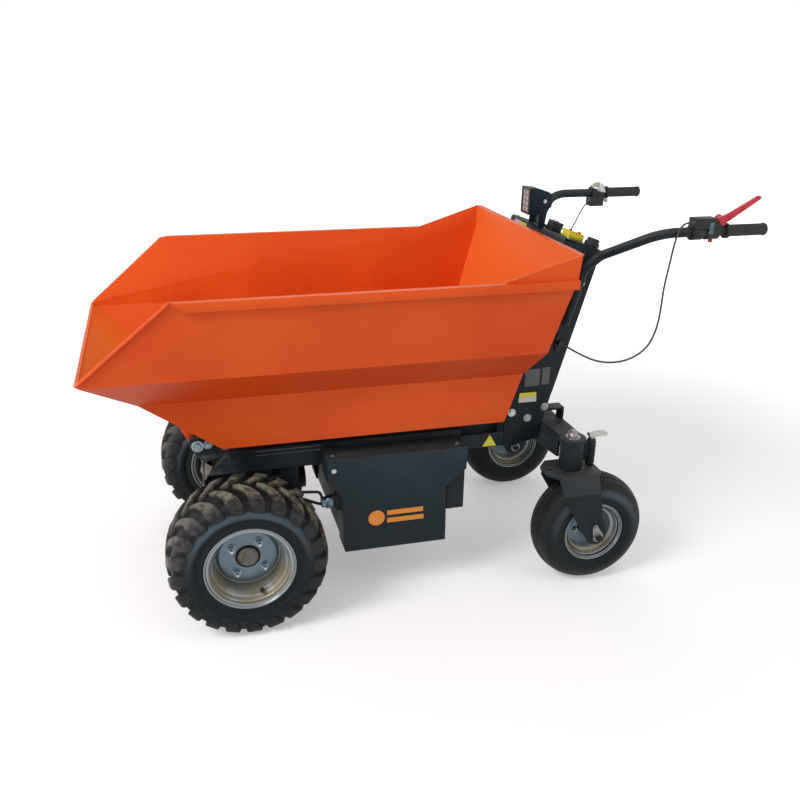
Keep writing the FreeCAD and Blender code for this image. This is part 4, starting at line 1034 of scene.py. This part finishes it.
gauge = {"spot": Vector((-0.7045, -0.309, 1.0045)), "lean": Vector((0.26, 0.34, 0.9)).normalized(),
         "radius": 0.018, "wall": 0.003, "rim": 0.0028, "rimHeight": 0.0024,
         "face": (0.0022, 0.0029, 0.0138, 36),
         # the cup's foot: how far below, how far beside, and its share of the radius
         "drop": 0.014, "foot": Vector((-0.02, 0.004, -0.01)), "footShare": 0.55}
gaugeTop = gauge["spot"] - gauge["lean"] * gauge["wall"]
gaugeFoot = gauge["spot"] - gauge["lean"] * gauge["drop"] + gauge["foot"]
controlParts = {
    "key_ring": ("zinc", [slopeBar(0.026, 0.032, 0.0265, 0.03, 0.0095, 24)]),
    "isolator_studs": ("red", [slopeBar(along, 0.116, 0.0195, 0.0235, radius, 20)
                               for along, radius in ((-0.009, 0.0055), (0.019, 0.004))]),
    "isolator_blocks": ("yellow", [prism(slopeFace(along, (0.084, 0.13), 0.013),
                                         onSlope(0, 0, 0.0065) - onSlope(0, 0, 0))
                                   for along in ((-0.0185, 0.0025), (0.0055, 0.0275))],
                        {"edge": (0.0012, 2)}),
    "console_screws": ("zinc", [slopeBar(a, y, 0.0008, 0.003, 0.0038, 16)
                                for y in (-0.165, 0.17) for a in (-0.046, 0.046)]),
    "console_meter_face": ("paleGauge", [prism(slopeFace((-0.014, 0.016), (-0.112, -0.068), 0.006),
                                               (-0.0002, 0, 0.0005))]),
    # the throttle's tilted gauge: cup, wall and rim, then its face
    "gauge_bezel": ("zinc", [bar(gaugeTop, gaugeFoot, gauge["radius"], 40,
                                 gauge["radius"] * gauge["footShare"]),
                             flared(gauge["spot"], gauge["lean"], 40, (-gauge["wall"], gauge["radius"]),
                                    (0, gauge["radius"]),
                                    (gauge["rimHeight"], gauge["radius"] - gauge["rim"]))]),
    "gauge_face": ("paleGauge", stack(gauge["spot"], gauge["lean"], gauge["face"])),
    "throttle_paddle": ("dullZinc", [bar((-0.729, -0.306, 0.963), (-0.7385, -0.3, 0.9555), 0.0045, 16,
                                         0.006)], {"edge": (0.001, 2)}),
    "brake_clamp_plates": ("steelBlue", [slab((-0.6915, 0.3375, 0.977), (-0.679, 0.3392, 1.006))],
                           {"edge": (0.0006, 1)}),
    "lever_boss": ("red", [bar((-0.7225, 0.3065, 1.0073), (-0.7225, 0.3295, 1.0073), 0.0125, 28)],
                   {"edge": (0.0015, 2)}),
    "lever_pin": ("red", [bar((-0.7, 0.318, 0.9625), (-0.7, 0.318, 0.9535), 0.0055, 20)]),
}

clampBolt = {"spot": (-0.6875, -0.318, 1.0005), "size": (0.0035, 0.003, 0.0045)}

castorTrim = {
    "leg": 0.076, "keeperThick": 0.003, "axle": (-0.449, 0.1595), "screw": (-0.438, 0.1905),
    # the keeper's two round ends: radius, start and sweep in degrees, steps
    "keeperEnds": [(0.015, 78, 204, 14), (0.0075, -78, 156, 10)],
    "nutSize": (0.0118, 0.004, 0.0135), "screwSize": (0.0042, 0.0025, 0.0052),
    "swivelX": -0.384, "swivelNut": [(0.4342, 0.4372, 0.0205, 32), (0.4372, 0.4487, 0.0145, 6),
                                     (0.4487, 0.4547, 0.0085, 20)],
    "turns": 11, "perTurn": 14, "spring": (0.352, 0.418), "springRadius": 0.0118, "wire": 0.0016,
}


def buildKeeper(name, y, out):
    # teardrop plate over the axle's end: a large and a small circle joined by their tangents
    c, body, label = castorTrim, "castor_" + name, "%s_%d" % (name, (out + 3) // 2)
    ends = [Vector((x, y, z)) for x, z in (c["axle"], c["screw"])]
    line = ends[1] - ends[0]
    outline = []
    for centre, (radius, first, sweep, steps) in zip(ends, c["keeperEnds"]):
        for k in range(steps + 1):
            a = math.atan2(line.z, line.x) + math.radians(first + k * sweep / steps)
            outline.append(centre + radius * Vector((math.cos(a), 0, math.sin(a))))
    step = Vector((0, out * c["keeperThick"], 0))
    piece("axle_keeper_" + label, "dullZinc", prism(outline, step), body=body)
    for kind, centre, size in (("axle_nut_", ends[0], "nutSize"), ("keeper_screw_", ends[1], "screwSize")):
        boltSet(kind + label, [(centre + step, (0, out, 0))], *c[size], "dullZinc", body)


def buildCastorTrim(name, side):
    c, y = castorTrim, side * castorY
    for out in (1, -1):
        buildKeeper(name, y + out * c["leg"], out)
    piece("swivel_nut_" + name, "dullZinc", *stack((c["swivelX"], y, 0), up, *c["swivelNut"]),
          body="castor_" + name, edge=(0.0008, 1))
    (low, high), r, last = c["spring"], c["springRadius"], c["turns"] * c["perTurn"]
    coil = []
    for i in range(last + 1):
        a = math.tau * i / c["perTurn"]
        coil.append((lockFoot[0] + r * math.cos(a), y + r * math.sin(a), low + (high - low) * i / last))
    piece("lock_spring_" + name, "plastic", tube(coil, c["wire"], 6), smooth=60)


for name, side in sides.items():
    makeParts({"%s_%s" % (label, name): (finish, mirroredY(solids, side))
               for label, (finish, solids) in sidedParts.items()})
    buildCastorTrim(name, side)
for parts in (chassisParts, liftParts, controlParts):
    makeParts(parts)
buildBolts()
boltSet("clamp_bolts", [(clampBolt["spot"], up)], *clampBolt["size"])
buildStrip()
buildLamp()
print("small parts done")


# control cables

cables = {
    "brake_cable": {"thick": 0.005, "length": 0.625, "points": [
        (-0.6396, 0.336, 1.008), (-0.617, 0.335, 1.01), (-0.598, 0.335, 0.997), (-0.589, 0.334, 0.96),
        (-0.588, 0.326, 0.9), (-0.587, 0.316, 0.84), (-0.593, 0.307, 0.779), (-0.589, 0.305, 0.721),
        (-0.571, 0.296, 0.667), (-0.528, 0.27, 0.628), (-0.471, 0.238, 0.619), (-0.417, 0.207, 0.641),
        (-0.381, 0.188, 0.663)]},
    "throttle_cable": {"thick": 0.004, "length": 0.407, "points": [
        (-0.6808, -0.318, 0.95), (-0.65, -0.276, 0.951), (-0.619, -0.228, 0.951), (-0.585, -0.178, 0.946),
        (-0.551, -0.129, 0.935), (-0.516, -0.08, 0.925), (-0.484, -0.031, 0.921), (-0.455, 0.018, 0.9215)]},
}
for name, c in cables.items():
    line = bpy.data.curves.new(name + "_line", "CURVE")
    line.dimensions = "3D"
    spline = line.splines.new("NURBS")
    spline.points.add(len(c["points"]) - 1)
    for point, spot in zip(spline.points, c["points"]):
        point.co = (*spot, 1)
    spline.order_u = 3
    spline.use_endpoint_u = True
    line.bevel_depth = c["thick"] / 2
    line.bevel_resolution = 4
    line.resolution_u = 16
    line.use_fill_caps = True
    line.materials.append(finishes["cable"])
    cord = bpy.data.objects.new(name + "_cord", line)
    scene.collection.objects.link(cord)
    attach(cord, "chassis")
    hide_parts(name)
print("cables done")


# studio

studio = {
    "cameraPlace": (0.6406, 2.2163, 1.3989), "yaw": -0.2638, "pitch": -0.3899, "roll": 0.0136,
    "lens": 38.84, "shift": (0.00975, 0.0031), "farthest": 60, "world": 0.46,
    # place, aim, size, power
    "lamps": {"key": ((3.3, 1.8, 3.5), (0, 0, 0.5), 2.0, 112),
              "front": ((4.0, 1.4, 0.95), (0, 0, 0.45), 1.4, 26),
              "fill": ((-2.6, 2.4, 2.2), (0, 0, 0.5), 2.4, 18),
              "back": ((-0.6, -3.2, 2.8), (0, 0, 0.6), 2.4, 14)},
    "floorHalf": 30, "floorTones": [(0.86, 0.86, 0.86), (0.89, 0.89, 0.89)],
    # the floor's own light near the object and far from it, and where it changes
    "glow": 0.3, "farGlow": 1.0, "glowSpan": (1.3, 4.0),
}


def makeCamera():
    # yaw and pitch turn it away from looking level along -Y
    turns = ((math.pi + studio["yaw"], "Z"), (math.pi / 2 + studio["pitch"], "X"), (studio["roll"], "Z"))
    turn = Matrix.Translation(studio["cameraPlace"])
    for angle, axis in turns:
        turn = turn @ Matrix.Rotation(angle, 4, axis)
    camera = bpy.data.objects.new("camera", bpy.data.cameras.new("camera"))
    camera.data.lens = studio["lens"]
    camera.data.shift_x, camera.data.shift_y = studio["shift"]
    camera.data.clip_end = studio["farthest"]
    camera.matrix_world = turn
    scene.collection.objects.link(camera)
    scene.camera = camera


def makeLamp(name, place, aim, size, power):
    light = bpy.data.lights.new(name, "AREA")
    light.shape, light.size, light.energy = "DISK", size, power
    holder = bpy.data.objects.new(name, light)
    holder.location = place
    holder.rotation_euler = (Vector(aim) - Vector(place)).to_track_quat("-Z", "Y").to_euler()
    scene.collection.objects.link(holder)


def seenDirectly(tree):
    # 1 for camera, glossy and transmission rays, 0 for the light that falls on the object
    rays = tree.add("LightPath").socket.node.outputs
    camera, glossy, through = [Value(tree, rays["Is %s Ray" % way])
                               for way in ("Camera", "Glossy", "Transmission")]
    return (camera + glossy + through).clamped()


def makeFloor():
    half = studio["floorHalf"]
    mesh = bpy.data.meshes.new("floor")
    mesh.from_pydata([(x, y, 0) for x, y in corners((-half, half), (-half, half))], [], [(0, 1, 2, 3)])
    floor = bpy.data.objects.new("floor", mesh)
    scene.collection.objects.link(floor)
    f = Finish("studioFloor", specular=0.0, glowStrength=1.0)
    across, along = f.axes("xy")
    away = ((across ** 2.0 + along ** 2.0) ** 0.5).between(*studio["glowSpan"])
    glow = seenDirectly(f) * (away * (studio["farGlow"] - studio["glow"]) + studio["glow"])
    f.done(color=f.mix(f.noise(2, 2), *studio["floorTones"]), roughness=0.9,
           glow=f.mix(glow, (0, 0, 0), (1, 1, 1)))
    mesh.materials.append(f.material)


makeCamera()
for name, values in studio["lamps"].items():
    makeLamp(name, *values)
scene.world = bpy.data.worlds.new("world")
scene.world.use_nodes = True
sky = Tree(scene.world.node_tree)
backdrop = sky.tree.nodes["Background"].inputs
sky.feed(backdrop["Color"], (1, 1, 1, 1))
sky.feed(backdrop["Strength"], seenDirectly(sky) * (1 - studio["world"]) + studio["world"])
scene.view_settings.view_transform = "Standard"
makeFloor()
print("studio done")
